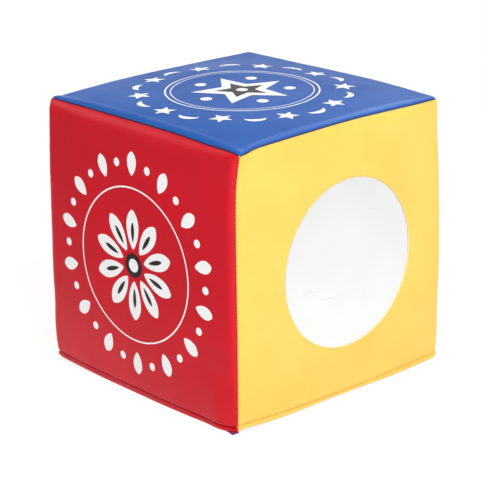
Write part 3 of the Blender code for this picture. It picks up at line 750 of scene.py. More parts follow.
@dataclass
class CoverPanel:
    """One panel of the cover: a fine skin that rolls into its seams."""

    facing: Facing
    top_roll: float = 1.5 * MM
    upright_roll: float = 1.1 * MM
    foot_roll: float = 2.8 * MM
    foot_depth: float = 2.8 * MM
    seam_gap: float = 0.05 * MM
    top_gap: float = 0.3 * MM
    foot_gap: float = 1.15 * MM
    row: float = 2.6 * MM
    allowance: float = 3 * MM
    wall: float = 1 * MM
    hem_edge: float = 135 * MM
    hem_height: float = 6.5 * MM
    hem_start: float = 107 * MM
    hem_run: float = 18 * MM
    ripple_depth: float = 0.35 * MM

    def __post_init__(self) -> None:
        """Sets how softly the cloth rolls into the crease over its flap."""
        usual = (self.foot_roll, self.foot_depth)
        own = {Facing.FRONT: (6.5 * MM, 3.3 * MM), Facing.MIRROR: (1.3 * MM, 1.3 * MM)}
        self.foot_roll, self.foot_depth = own.get(self.facing, usual)

    def seam_towards(self, beyond: Vector) -> Seam:
        """The kind of the seam towards a neighbour."""
        if self.facing is Facing.BASE or beyond == -Z:
            return Seam.FOOT
        return Seam.TOP if self.facing is Facing.TOP or beyond == Z else Seam.UPRIGHT

    def gap(self, seam: Seam) -> float:
        """The distance along the skin from a seam's line to the panel's edge."""
        return {Seam.FOOT: self.foot_gap, Seam.TOP: self.top_gap, Seam.UPRIGHT: self.seam_gap}[seam]

    def sink(self, arc: float, seam: Seam) -> float:
        """How far the skin has rolled into a seam at a distance from it."""
        roll = {Seam.FOOT: self.foot_roll, Seam.TOP: self.top_roll, Seam.UPRIGHT: self.upright_roll}[seam]
        depth = self.foot_depth if seam is Seam.FOOT else roll
        left = min(max(1 - (arc - self.gap(seam)) / roll, 0.0), 1.0)
        return depth * (1 - math.sqrt(1 - left * left))

    def half_rows(self, half: float, seam: Seam) -> list[float]:
        """The places of the rows from the middle to one seam, from 0 to almost 1."""
        steps = (0, 0.12, 0.3, 0.55, 0.9, 1.35, 2.0, 2.9, 4.1, 5.6, 7.4, 9.4, 11.6)
        ends = [FORM.share_at(self.gap(seam) + step * MM, half) for step in steps]
        count = round(ends[-1] * half / self.row)
        return [ends[-1] * step / count for step in range(count)] + ends[::-1]

    def rows(self, half: float, low: Seam, high: Seam) -> list[float]:
        """The places of all the rows between two seams."""
        before = [-place for place in self.half_rows(half, low)]
        return before[:0:-1] + self.half_rows(half, high)

    def edges(self, u: float, v: float) -> list[tuple[Vector, float, Seam]]:
        """The nearest seam across and up: its direction, its distance and its kind."""
        normal, across, up = self.facing.axes
        across, up = across * math.copysign(1, u), up * math.copysign(1, v)
        radius = FORM.rounding(normal + across * abs(u) + up * abs(v))
        halves = self.facing.halves()
        return [
            (across, FORM.arc(u, halves[0], radius), self.seam_towards(across)),
            (up, FORM.arc(v, halves[1], radius), self.seam_towards(up)),
        ]

    def ripples(self, point: Vector, arcs: list[float], u: float, v: float) -> float:
        """The cloth's own slight waves: broad ones, and short ones drawn in square to the seams."""
        wave = 0.9 * ripple(point * 16, 2.3)
        for arc, along, seed in ((arcs[0], v, 5.1), (arcs[1], u, 9.4)):
            fade = math.exp(-arc / (11 * MM))
            wave += 1.1 * fade * ripple(Vector((along * 15, arc * 18, seed)), seed)
        hold = eased(min(arcs) / (4 * MM))
        return wave * hold * self.ripple_depth

    def place(self, u: float, v: float, lift: float = 0.0, inset: float = 0.0) -> Vector:
        """A place on the panel.

        Args:
            u: the share of the way across.
            v: the share of the way up.
            lift: how far the place stands over the skin.
            inset: how deep a layer lies under the skin.

        Returns:
            The place in metres.
        """
        normal, across, up = self.facing.axes
        shares = normal + across * u + up * v
        hemmed = self.facing is Facing.BASE and v < 0
        if hemmed:
            y = self.hem_edge * -v / FORM.share_at(self.foot_gap, FORM.half.y)
            shares.y = y / FORM.half.y
        point = FORM.skin(shares, inset)
        edges = self.edges(u, v)
        if hemmed:
            point.y = y
            point.z = max(point.z, self.hem_height * eased((y - self.hem_start) / self.hem_run))
            edges = edges[:1]
        for beyond, arc, seam in edges:
            point -= (normal + beyond) * ROOT_HALF * self.sink(arc, seam)
        if self.facing is not Facing.BASE:
            point += normal * self.ripples(point, [arc for _, arc, _ in edges], u, v)
        return FORM.settle(point) + normal * lift

    def cut_map(self, u: float, v: float) -> tuple[float, float]:
        """The place on the flat cut, in metres from its middle, with the seams at SEAM_REACH."""
        arcs = [arc for _, arc, _ in self.edges(u, v)]
        return tuple(math.copysign(SEAM_REACH - arc, share) for arc, share in zip(arcs, (u, v)))

    def skin(self) -> bmesh.types.BMesh:
        """The panel's outer face, with its allowance turned in and its cut map."""
        normal, across, up = self.facing.axes
        halves = self.facing.halves()
        columns = self.rows(halves[0], self.seam_towards(-across), self.seam_towards(across))
        lines = self.rows(halves[1], self.seam_towards(-up), self.seam_towards(up))
        form = bmesh.new()
        cut = form.loops.layers.uv.new("cut")
        bmesh.ops.create_grid(form, x_segments=len(columns) - 1, y_segments=len(lines) - 1, size=1)
        shares: dict[bmesh.types.BMVert, tuple[float, float]] = {}
        for vert in form.verts:
            u = columns[round((vert.co.x + 1) / 2 * (len(columns) - 1))]
            v = lines[round((vert.co.y + 1) / 2 * (len(lines) - 1))]
            shares[vert] = (u, v)
        for face in form.faces:
            for loop in face.loops:
                loop[cut].uv = self.cut_map(*shares[loop.vert])
        ends = (columns[0], columns[-1], lines[0], lines[-1])
        for vert, (u, v) in shares.items():
            vert.co = self.place(u, v)
        self.turn_in(form, shares, ends)
        return form

    def turn_in(self, form: bmesh.types.BMesh, shares: dict, ends: tuple[float, float, float, float]) -> None:
        """Carries the edge on into the seam as the allowance; a hem has none."""
        normal, across, up = self.facing.axes
        edges = [edge for edge in form.edges if edge.is_boundary]
        if self.facing is Facing.BASE:
            edges = [edge for edge in edges if any(shares[vert][1] > ends[2] for vert in edge.verts)]
        inward = {}
        for vert in {vert for edge in edges for vert in edge.verts}:
            u, v = shares[vert]
            way = Vector()
            if u in ends[:2]:
                way -= normal + across * math.copysign(1, u)
            if v in ends[2:] and not (self.facing is Facing.BASE and v == ends[2]):
                way -= normal + up * math.copysign(1, v)
            inward[tuple(vert.co)] = way
        made = bmesh.ops.extrude_edge_only(form, edges=edges)["geom"]
        for vert in (item for item in made if isinstance(item, bmesh.types.BMVert)):
            vert.co += inward[tuple(vert.co)] * ROOT_HALF * self.allowance

    def build(self) -> bpy.types.Object:
        """The panel as a closed sheet that stands for its node."""
        form = self.skin()
        normal = self.facing.axes[0]
        form.normal_update()
        outer = max(form.faces, key=lambda face: face.calc_center_median().dot(normal))
        if outer.normal.dot(normal) < 0:
            bmesh.ops.reverse_faces(form, faces=form.faces)
        finish = PANEL_FINISH[self.facing]
        return finish_piece(
            form, f"cover_{self.facing.node}", [finish, CUT_EDGE], stands_for=[self.facing.node],
            wall=self.wall,
        )


def cut_round(piece: bpy.types.Object, radius: float, shift: float, height: float) -> None:
    """Cuts a round opening through the mirror side's panel, its wall in the cut edge's finish."""
    form = bmesh.new()
    turn = Matrix.Translation((FORM.half.x, shift, height)) @ Matrix.Rotation(math.pi / 2, 4, "Y")
    bmesh.ops.create_cone(
        form, cap_ends=True, segments=288, radius1=radius, radius2=radius, depth=30 * MM, matrix=turn
    )
    mesh = bpy.data.meshes.new("opening_cutter")
    form.to_mesh(mesh)
    form.free()
    mesh.materials.append(WARDROBE.of(CUT_EDGE))
    cutter = bpy.data.objects.new("opening_cutter", mesh)
    bpy.context.scene.collection.objects.link(cutter)
    cut = piece.modifiers.new("opening", "BOOLEAN")
    cut.operation, cut.solver, cut.object, cut.material_mode = "DIFFERENCE", "EXACT", cutter, "TRANSFER"
    bake_modifiers(piece)
    bpy.data.objects.remove(cutter)
    bpy.data.meshes.remove(mesh)


@dataclass
class RoundLayer:
    """A round or ring-shaped layer that lies under the mirror side's skin."""

    name: str
    node: str
    inset: float
    wall: float
    outer: float
    finish: object
    inner: float = 0.0
    spokes: int = 144
    ring: float = 3 * MM

    def build(self, panel: CoverPanel, shift: float, height: float) -> bpy.types.Object:
        """Spins a line into the layer and lays it under the skin."""
        form = bmesh.new()
        width = self.outer - self.inner
        count = max(2, round(width / self.ring))
        spine = [form.verts.new((self.inner + width * step / count, 0, 0)) for step in range(count + 1)]
        line = [form.edges.new(pair) for pair in zip(spine, spine[1:])]
        bmesh.ops.spin(
            form, geom=spine + line, cent=(0, 0, 0), axis=(0, 0, 1), angle=2 * math.pi,
            steps=self.spokes, use_merge=True,
        )
        bmesh.ops.remove_doubles(form, verts=form.verts, dist=0.01 * MM)
        halves = panel.facing.halves()
        for vert in form.verts:
            u, v = (vert.co.x + shift) / halves[0], (vert.co.y + height - FORM.centre.z) / halves[1]
            vert.co = panel.place(u, v, inset=self.inset)
        bmesh.ops.recalc_face_normals(form, faces=form.faces)
        form.normal_update()
        if sum((face.normal for face in form.faces), Vector()).x < 0:
            bmesh.ops.reverse_faces(form, faces=form.faces)
        piece = finish_piece(
            form, self.name, [self.finish], stands_for=[self.node], wall=self.wall
        )
        return piece


@dataclass
class MirrorWindow:
    """The round mirror: the opening in the panel, the bond ring, the film and its backing."""

    panel: CoverPanel
    skin: bpy.types.Object
    radius: float = 95.2 * MM
    height: float = 156.2 * MM
    shift: float = 3.3 * MM
    lap: float = 12.5 * MM
    bond_margin: float = 1.5 * MM

    def build(self) -> None:
        """Cuts the opening and lays the layers behind it."""
        cut_round(self.skin, self.radius, self.shift, self.height)
        outer, inner = self.radius + self.lap, self.radius + self.bond_margin
        layers = (
            RoundLayer("mirror_bond", "mirror_bond_ring", 1.05 * MM, 0.1 * MM, outer, ADHESIVE, inner),
            RoundLayer("mirror_sheet", "mirror_film", 1.2 * MM, 0.5 * MM, outer, FILM),
            RoundLayer("mirror_backing_sheet", "mirror_backing", 2.0 * MM, 2.5 * MM, outer, BACKING),
        )
        for layer in layers:
            layer.build(self.panel, self.shift, self.height)


@dataclass
class FoamBlock:
    """The foam cube inside the cover."""

    def build(self) -> bpy.types.Object:
        """A merged copy of the core with its edges eased."""
        form = bmesh.new()
        form.from_mesh(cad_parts["foam_core"].data)
        bmesh.ops.remove_doubles(form, verts=form.verts, dist=0.02 * MM)
        bmesh.ops.smooth_vert(
            form, verts=form.verts, factor=0.15, use_axis_x=True, use_axis_y=True, use_axis_z=True
        )
        piece = finish_piece(form, "foam_block", [FOAM], stands_for=["foam_core"])
        return piece


@dataclass
class FootFlap:
    """The folded flap in the seam along the foot of one side."""

    facing: Facing
    step: float = 2.4 * MM
    seam_gap: float = 0.15 * MM
    section: tuple[tuple[float, float], ...] = (
        (-3.54, 4.95), (0.99, 0.42), (1.9, -0.69), (1.9, -3.9), (1.4, -4.4),
        (0.4, -4.4), (-0.1, -3.9), (-0.1, -1.75), (-0.42, -0.99), (-4.95, 3.54),
    )

    def outline(self) -> list[tuple[float, float]]:
        """The section with its corners cut twice, so that the cloth bends softly."""
        points = list(self.section)
        for _ in range(2):
            pairs = zip(points, points[1:] + points[:1])
            points = [
                (a[0] * (1 - share) + b[0] * share, a[1] * (1 - share) + b[1] * share)
                for a, b in pairs for share in (0.25, 0.75)
            ]
        return [(out * MM, rise * MM) for out, rise in points]

    def worn_section(self, out: float, rise: float, place: float) -> tuple[float, float]:
        """The section's own wear: the red lip is tucked under, and the mirror side's is flattened
        towards its middle."""
        low = min(rise + 0.7 * MM, 0.0)
        if self.facing is Facing.FRONT and out > -2 * MM:
            out += 0.3 * low
        if self.facing is Facing.MIRROR and out > -2 * MM:
            worn = 0.75 * hill(place + 0.05, 0.45) + 0.28 * hill(place + 1, 0.2) - 0.05
            out -= 0.6 * MM * worn
            rise -= worn * low
        return out, rise

    def build(self) -> bpy.types.Object:
        """Lofts the section along the seam, mitred at both corners."""
        normal, across, _ = self.facing.axes
        outline = self.outline()
        count = len(outline)
        half = self.facing.halves()[0]
        cells = round(2 * half / self.step)
        form = bmesh.new()
        bmesh.ops.create_grid(form, x_segments=cells, y_segments=count, size=1)
        for vert in form.verts:
            place = round((vert.co.x + 1) / 2 * cells) * 2 / cells - 1
            out, rise = self.worn_section(*outline[round((vert.co.y + 1) / 2 * count) % count], place)
            seam = FORM.skin(normal + across * place - Z)
            shown = eased((out + 1 * MM) / (2 * MM))
            wander = ripple(Vector((place * 13, 0, 0)), 3.3 + SIDES.index(self.facing))
            wander = wander * shown * eased((1 - abs(place)) * 8)
            out += 0.35 * MM * wander
            rise += 0.25 * MM * wander
            mitre = place * (out - self.seam_gap / ROOT_HALF)
            vert.co = FORM.settle(seam + normal * out + across * mitre + Z * rise)
        bmesh.ops.remove_doubles(form, verts=form.verts, dist=0.005 * MM)
        bmesh.ops.holes_fill(form, edges=form.edges, sides=0)
        bmesh.ops.recalc_face_normals(form, faces=form.faces)
        side = {Facing.FRONT: "front", Facing.MIRROR: "right", Facing.BACK: "back", Facing.LEFT: "left"}[self.facing]
        finish = FLAP_FINISH[self.facing]
        piece = finish_piece(form, f"foot_fold_{side}", [finish], stands_for=[f"flap_{side}"])
        return piece


@dataclass
class BaseCorner:
    """The corner of the base panel that shows past the flaps at the near corner, pressed flat."""

    left: Vector = field(default_factory=lambda: Vector((136.2, -157.4, 0)) * MM)
    tip: Vector = field(default_factory=lambda: Vector((151.8, -160.9, 0)) * MM)
    right: Vector = field(default_factory=lambda: Vector((152.5, -152.5, 0)) * MM)
    root: Vector = field(default_factory=lambda: Vector((-5, 6, 0)) * MM)
    peak: float = 0.6
    rim_height: float = 1.0 * MM
    root_height: float = 2.0 * MM
    wall: float = 0.9 * MM

    def rim(self, share: float) -> Vector:
        """A place on the outer rim, from its left end to its right end."""
        base = self.left.lerp(self.right, share)
        rise = share / self.peak if share < self.peak else (1 - share) / (1 - self.peak)
        return base + (self.tip - self.left.lerp(self.right, self.peak)) * rise**1.15

    def build(self) -> bpy.types.Object:
        """The corner as a small closed sheet."""
        form = bmesh.new()
        bmesh.ops.create_grid(form, x_segments=20, y_segments=8, size=1)
        for vert in form.verts:
            share, out = (vert.co.x + 1) / 2, (vert.co.y + 1) / 2
            point = (self.left.lerp(self.right, share) + self.root).lerp(self.rim(share), out)
            point.z = self.rim_height + (self.root_height - self.rim_height) * (1 - out) ** 1.4
            vert.co = point
        bmesh.ops.reverse_faces(form, faces=form.faces)
        return finish_piece(form, "cover_base_corner", [BASE_CORNER], wall=self.wall)


BASE_CORNER = replace(PURPLE, name="purple_corner", mapped=False)
FLAP_FINISH = {
    facing: replace(PANEL_FINISH[facing], name=f"{PANEL_FINISH[facing].name}_fold", mapped=False)
    for facing in SIDES
}


@dataclass
class SeamStitching:
    """Short bars of thread across each seam, and a running stitch in the crease at the foot."""

    pitch: float = STITCH_PITCH
    thread: float = 0.24 * MM
    bar: float = 1.1 * MM
    sink: float = 0.4 * MM
    crease_out: float = 0.75 * MM
    crease_up: float = 0.75 * MM

    def stations(self, half: float, margin: float) -> list[float]:
        """The shares along an edge at which stitches lie, matching the notches in the cloth."""
        count = int((SEAM_REACH - margin) / self.pitch)
        shares = []
        for number in range(-count, count + 1):
            along = (number + 0.5) * self.pitch
            if abs(along) < SEAM_REACH - margin:
                shares.append(math.copysign(FORM.share_at(SEAM_REACH - abs(along), half), along))
        return shares

    def lay(self, form: bmesh.types.BMesh, middle: Vector, way: Vector, length: float) -> None:
        """Adds one stitch: a six-sided bar whose ends dip into the cloth."""
        turn = way.to_track_quat("Z", "Y").to_matrix().to_4x4()
        bmesh.ops.create_cone(
            form, cap_ends=True, segments=6, radius1=self.thread, radius2=self.thread, depth=length,
            matrix=Matrix.Translation(FORM.settle(middle)) @ turn,
        )

    def upright(self, name: str, x: int, y: int) -> None:
        """The stitches of one upright seam."""
        form = bmesh.new()
        inward = Vector((-x, -y, 0)).normalized()
        for z in self.stations(FORM.half.z, 7 * MM):
            seam = FORM.skin(Vector((x, y, z)))
            self.lay(form, seam + inward * self.sink, inward.cross(Z), self.bar)
        finish_piece(form, f"stitches_{name}", [THREAD], stands_for=[f"seam_thread_{name}"])

    def top(self) -> None:
        """The stitches round the top panel."""
        form = bmesh.new()
        for facing in SIDES:
            normal, across, up = facing.axes
            inward = -(normal + up).normalized()
            for place in self.stations(FORM.half.x, 4 * MM):
                seam = FORM.skin(normal + across * place + up)
                self.lay(form, seam + inward * (self.sink + 0.5 * MM), inward.cross(across), self.bar)
        finish_piece(form, "stitches_top", [THREAD], stands_for=["seam_thread_top"])

    def foot(self) -> None:
        """The running stitch in the crease over the flaps."""
        form = bmesh.new()
        for facing in SIDES:
            normal, across, up = facing.axes
            for place in self.stations(FORM.half.x, 3 * MM):
                ends = [FORM.skin(normal + across * share - up) for share in (place - 0.004, place + 0.004)]
                sunk = {Facing.FRONT: 2.0 * MM, Facing.MIRROR: 1.3 * MM}.get(facing, 0.6 * MM) * ROOT_HALF
                middle = (ends[0] + ends[1]) / 2 + normal * (self.crease_out - sunk) + up * (self.crease_up + sunk)
                self.lay(form, middle, (ends[1] - ends[0]).normalized(), self.pitch * 0.78)
        finish_piece(form, "stitches_foot", [THREAD], stands_for=["seam_thread_foot"])

    def build(self) -> None:
        """All the stitches."""
        self.upright("front_left", -1, -1)
        self.upright("front_right", 1, -1)
        self.upright("back_right", 1, 1)
        self.upright("back_left", -1, 1)
        self.top()
        self.foot()


# ---------------------------------------------------------------- printed badges


class Shape(Enum):
    """An outline of the print, as a point for each share of the way round, about 1 across."""

    DISC = "disc"
    STAR = "star"
    PETAL = "petal"
    HEART = "heart"
    KITE = "kite"
    CRESCENT = "crescent"
    WEDGE = "wedge"

    @property
    def corners(self) -> int:
        """How many points the outline has."""
        return {"star": 10, "kite": 4, "wedge": 3}.get(self.value, 40)

    def point(self, share: float) -> tuple[float, float]:
        """The outline's point at a share of the way round, starting at the top."""
        turn = 2 * math.pi * share
        x, y = math.sin(turn) / 2, math.cos(turn) / 2
        if self is Shape.STAR:
            reach = 1.0 if round(share * 10) % 2 == 0 else 0.45
            return x * reach, y * reach
        if self is Shape.PETAL:
            return x * (1 - 0.35 * abs(2 * y) ** 3) * (1.15 + 0.5 * y) * 0.62, y
        if self is Shape.HEART:
            wide = 16 * math.sin(turn) ** 3
            tall = 13 * math.cos(turn) - 5 * math.cos(2 * turn) - 2 * math.cos(3 * turn) - math.cos(4 * turn)
            return wide / 32, (tall + 2.5) / 32
        if self is Shape.KITE:
            return ((0.0, 0.5), (0.3, 0.1), (0.0, -0.5), (-0.3, 0.1))[round(share * 4) % 4]
        if self is Shape.WEDGE:
            return ((0.0, 0.5), (0.42, -0.5), (-0.42, -0.5))[round(share * 3) % 3]
        if self is Shape.CRESCENT:
            if share < 0.5:
                sweep = math.pi * (2 * share)
                return 0.5 * math.sin(sweep), 0.5 * math.cos(sweep)
            sweep = math.pi * (2 * (share - 0.5))
            return 0.18 * math.sin(math.pi - sweep), 0.5 * math.cos(math.pi - sweep)
        return x, y


@dataclass(frozen=True)
class Mark:
    """One printed shape: its place in polar form, its size, its turn and its ink."""

    shape: Shape
    radius: float
    angle: float
    wide: float
    tall: float
    turn: float = 0.0
    dark: bool = False
    layer: int = 0


@dataclass
class PrintedBadge:
    """A round printed design on one side."""

    panel: CoverPanel
    marks: list[Mark]
    rings: list[tuple[float, float]]
    drop: float = 4.8 * MM
    lift: float = 0.1 * MM
    layer_lift: float = 0.05 * MM
    cell: float = 5 * MM

    def stamp(self, form: bmesh.types.BMesh, mark: Mark) -> None:
        """Adds one mark, flat, at its layer's height."""
        made = bmesh.ops.create_circle(
            form, cap_ends=True, cap_tris=False, segments=mark.shape.corners, radius=1
        )["verts"]
        turn, swing = (Matrix.Rotation(angle, 4, "Z") for angle in (mark.turn, mark.angle))
        place = swing @ Matrix.Translation((0, mark.radius, mark.layer)) @ turn
        for number, vert in enumerate(made):
            x, y = mark.shape.point(number / len(made))
            vert.co = place @ Vector((x * mark.wide, y * mark.tall, 0))
        for face in {face for vert in made for face in vert.link_faces}:
            face.material_index = int(mark.dark)
            bmesh.ops.triangulate(form, faces=[face])

    def ring(self, form: bmesh.types.BMesh, radius: float, width: float) -> None:
        """Adds a thin ring."""
        edges = []
        for reach in (radius - width / 2, radius + width / 2):
            made = bmesh.ops.create_circle(form, cap_ends=False, segments=180, radius=reach)["verts"]
            edges += list({edge for vert in made for edge in vert.link_edges})
        bmesh.ops.bridge_loops(form, edges=edges)

    def build(self, name: str) -> bpy.types.Object:
        """Prints the design on the panel's skin."""
        form = bmesh.new()
        for radius, width in self.rings:
            self.ring(form, radius, width)
        for mark in self.marks:
            self.stamp(form, mark)
        steps = int(135 * MM / self.cell)
        for axis in (X, Y):
            for number in range(-steps, steps + 1):
                geometry = form.verts[:] + form.edges[:] + form.faces[:]
                cut = axis * (number * self.cell + 0.01 * MM)
                bmesh.ops.bisect_plane(form, geom=geometry, dist=1e-7, plane_co=cut, plane_no=axis)
        halves = self.panel.facing.halves()
        normal = self.panel.facing.axes[0]
        for vert in form.verts:
            u = vert.co.x / halves[0]
            v = (vert.co.y - self.drop) / halves[1]
            vert.co = self.panel.place(u, v, lift=self.lift + self.layer_lift * vert.co.z)
        form.normal_update()
        turned = [face for face in form.faces if face.normal.dot(normal) < 0]
        if turned:
            bmesh.ops.reverse_faces(form, faces=turned)
        return finish_piece(form, name, [WHITE_INK, DARK_INK])


def wreath(
    shape: Shape, count: int, radius: float, wide: float, tall: float, start: float = 0.0, **ink: object
) -> list[Mark]:
    """Equal marks spaced evenly round a circle, with their turn, dark or layer by name."""
    angles = (start + 2 * math.pi * n / count for n in range(count))
    return [Mark(shape, radius, angle, wide, tall, **ink) for angle in angles]


def flower_marks() -> list[Mark]:
    """A daisy in a wreath of leaves and beads."""
    half = math.pi / 14
    return (
        wreath(Shape.PETAL, 10, 40 * MM, 27 * MM, 44 * MM)
        + wreath(Shape.PETAL, 10, 37 * MM, 7 * MM, 22 * MM, dark=True, layer=1)
        + wreath(Shape.DISC, 1, 0, 27 * MM, 27 * MM, dark=True, layer=2)
        + wreath(Shape.DISC, 1, 0, 15 * MM, 15 * MM, layer=3)
        + wreath(Shape.PETAL, 14, 112 * MM, 20 * MM, 25 * MM)
        + wreath(Shape.DISC, 14, 112 * MM, 9 * MM, 9 * MM, start=half)
    )


def star_marks() -> list[Mark]:
    """A star in a wreath of small stars and crescents."""
    half = math.pi / 10
    return (
        wreath(Shape.STAR, 1, 0, 112 * MM, 112 * MM)
        + wreath(Shape.STAR, 1, 0, 62 * MM, 62 * MM, dark=True, layer=1)
        + wreath(Shape.DISC, 1, 0, 13 * MM, 13 * MM, layer=2)
        + wreath(Shape.DISC, 5, 52 * MM, 13 * MM, 13 * MM, start=math.pi / 5)
        + wreath(Shape.STAR, 10, 112 * MM, 27 * MM, 27 * MM)
        + wreath(Shape.CRESCENT, 10, 112 * MM, 22 * MM, 24 * MM, start=half, turn=math.pi / 2)
    )


def clover_marks() -> list[Mark]:
    """Four hearts in a wreath of small hearts and beads."""
    half = math.pi / 12
    return (
        wreath(Shape.HEART, 4, 30 * MM, 52 * MM, 50 * MM, start=math.pi / 4)
        + wreath(Shape.HEART, 4, 33 * MM, 24 * MM, 22 * MM, start=math.pi / 4, dark=True, layer=1)
        + wreath(Shape.HEART, 12, 112 * MM, 24 * MM, 23 * MM)
        + wreath(Shape.DISC, 12, 112 * MM, 9 * MM, 9 * MM, start=half)
    )


def windmill_marks() -> list[Mark]:
    """A windmill of kites in a wreath of wedges and beads."""
    half = math.pi / 16
    return (
        wreath(Shape.KITE, 8, 37 * MM, 44 * MM, 58 * MM, turn=0.25)
        + wreath(Shape.KITE, 8, 42 * MM, 16 * MM, 26 * MM, turn=0.25, dark=True, layer=1)
        + wreath(Shape.DISC, 1, 0, 20 * MM, 20 * MM, dark=True, layer=2)
        + wreath(Shape.DISC, 1, 0, 9 * MM, 9 * MM, layer=3)
        + wreath(Shape.WEDGE, 16, 112 * MM, 20 * MM, 23 * MM)
        + wreath(Shape.DISC, 16, 112 * MM, 8 * MM, 8 * MM, start=half)
    )


BADGES: dict[Facing, tuple[str, Callable[[], list[Mark]], list[tuple[float, float]], float]] = {
    Facing.FRONT: ("print_flower", flower_marks, [(86 * MM, 1.8 * MM)], 4.8 * MM),
    Facing.TOP: ("print_star", star_marks, [(84 * MM, 1.8 * MM), (78 * MM, 1.2 * MM)], 0.0),
    Facing.BACK: ("print_clover", clover_marks, [(88 * MM, 1.8 * MM)], 4.8 * MM),
    Facing.LEFT: ("print_windmill", windmill_marks, [(86 * MM, 1.8 * MM)], 4.8 * MM),
}


# ---------------------------------------------------------------- the zip


@dataclass
class ZipFastener:
    """The zip under the back edge: woven tapes, moulded teeth, metal stops, slider and pull tab."""

    tape_nodes: tuple[str, str] = ("zip_tape_outer", "zip_tape_inner")
    tape_cut: tuple[float, float] = (300 * MM, 18 * MM)
    wall: float = 0.5 * MM

    def tapes(self) -> None:
        """The two tapes as thin woven strips with a slight flutter."""
        form = bmesh.new()
        for node in self.tape_nodes:
            low, high = (Vector(corner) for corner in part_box(node))
            size, middle = high - low, (low + high) / 2
            made = bmesh.ops.create_grid(form, x_segments=150, y_segments=8, size=0.5)["verts"]
            for vert in made:
                flutter = 0.12 * MM * ripple(Vector((vert.co.x * 40, vert.co.y * 2, 0)), 6.2)
                vert.co = Vector((vert.co.x * size.x, vert.co.y * size.y, flutter + size.z / 2)) + middle
        form.normal_update()
        down = [face for face in form.faces if face.normal.z < 0]
        if down:
            bmesh.ops.reverse_faces(form, faces=down)
        piece = finish_piece(form, "zip_tapes", [TAPE], stands_for=self.tape_nodes, wall=self.wall)

    def dress(self) -> None:
        """Gives the metal and moulded nodes their finishes."""
        for node, finish in (
            ("zip_teeth_outer", TEETH), ("zip_teeth_inner", TEETH), ("zip_stop_closed_end", NICKEL),
            ("zip_stop_open_end", NICKEL), ("zip_slider", NICKEL), ("zip_pull_tab", NICKEL),
        ):
            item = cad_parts[node]
            if item.material_slots:
                for slot in item.material_slots:
                    slot.material = WARDROBE.of(finish)
            else:
                item.data.materials.append(WARDROBE.of(finish))

    def build(self) -> None:
        """The whole zip."""
        self.tapes()
        self.dress()


# ---------------------------------------------------------------- the studio


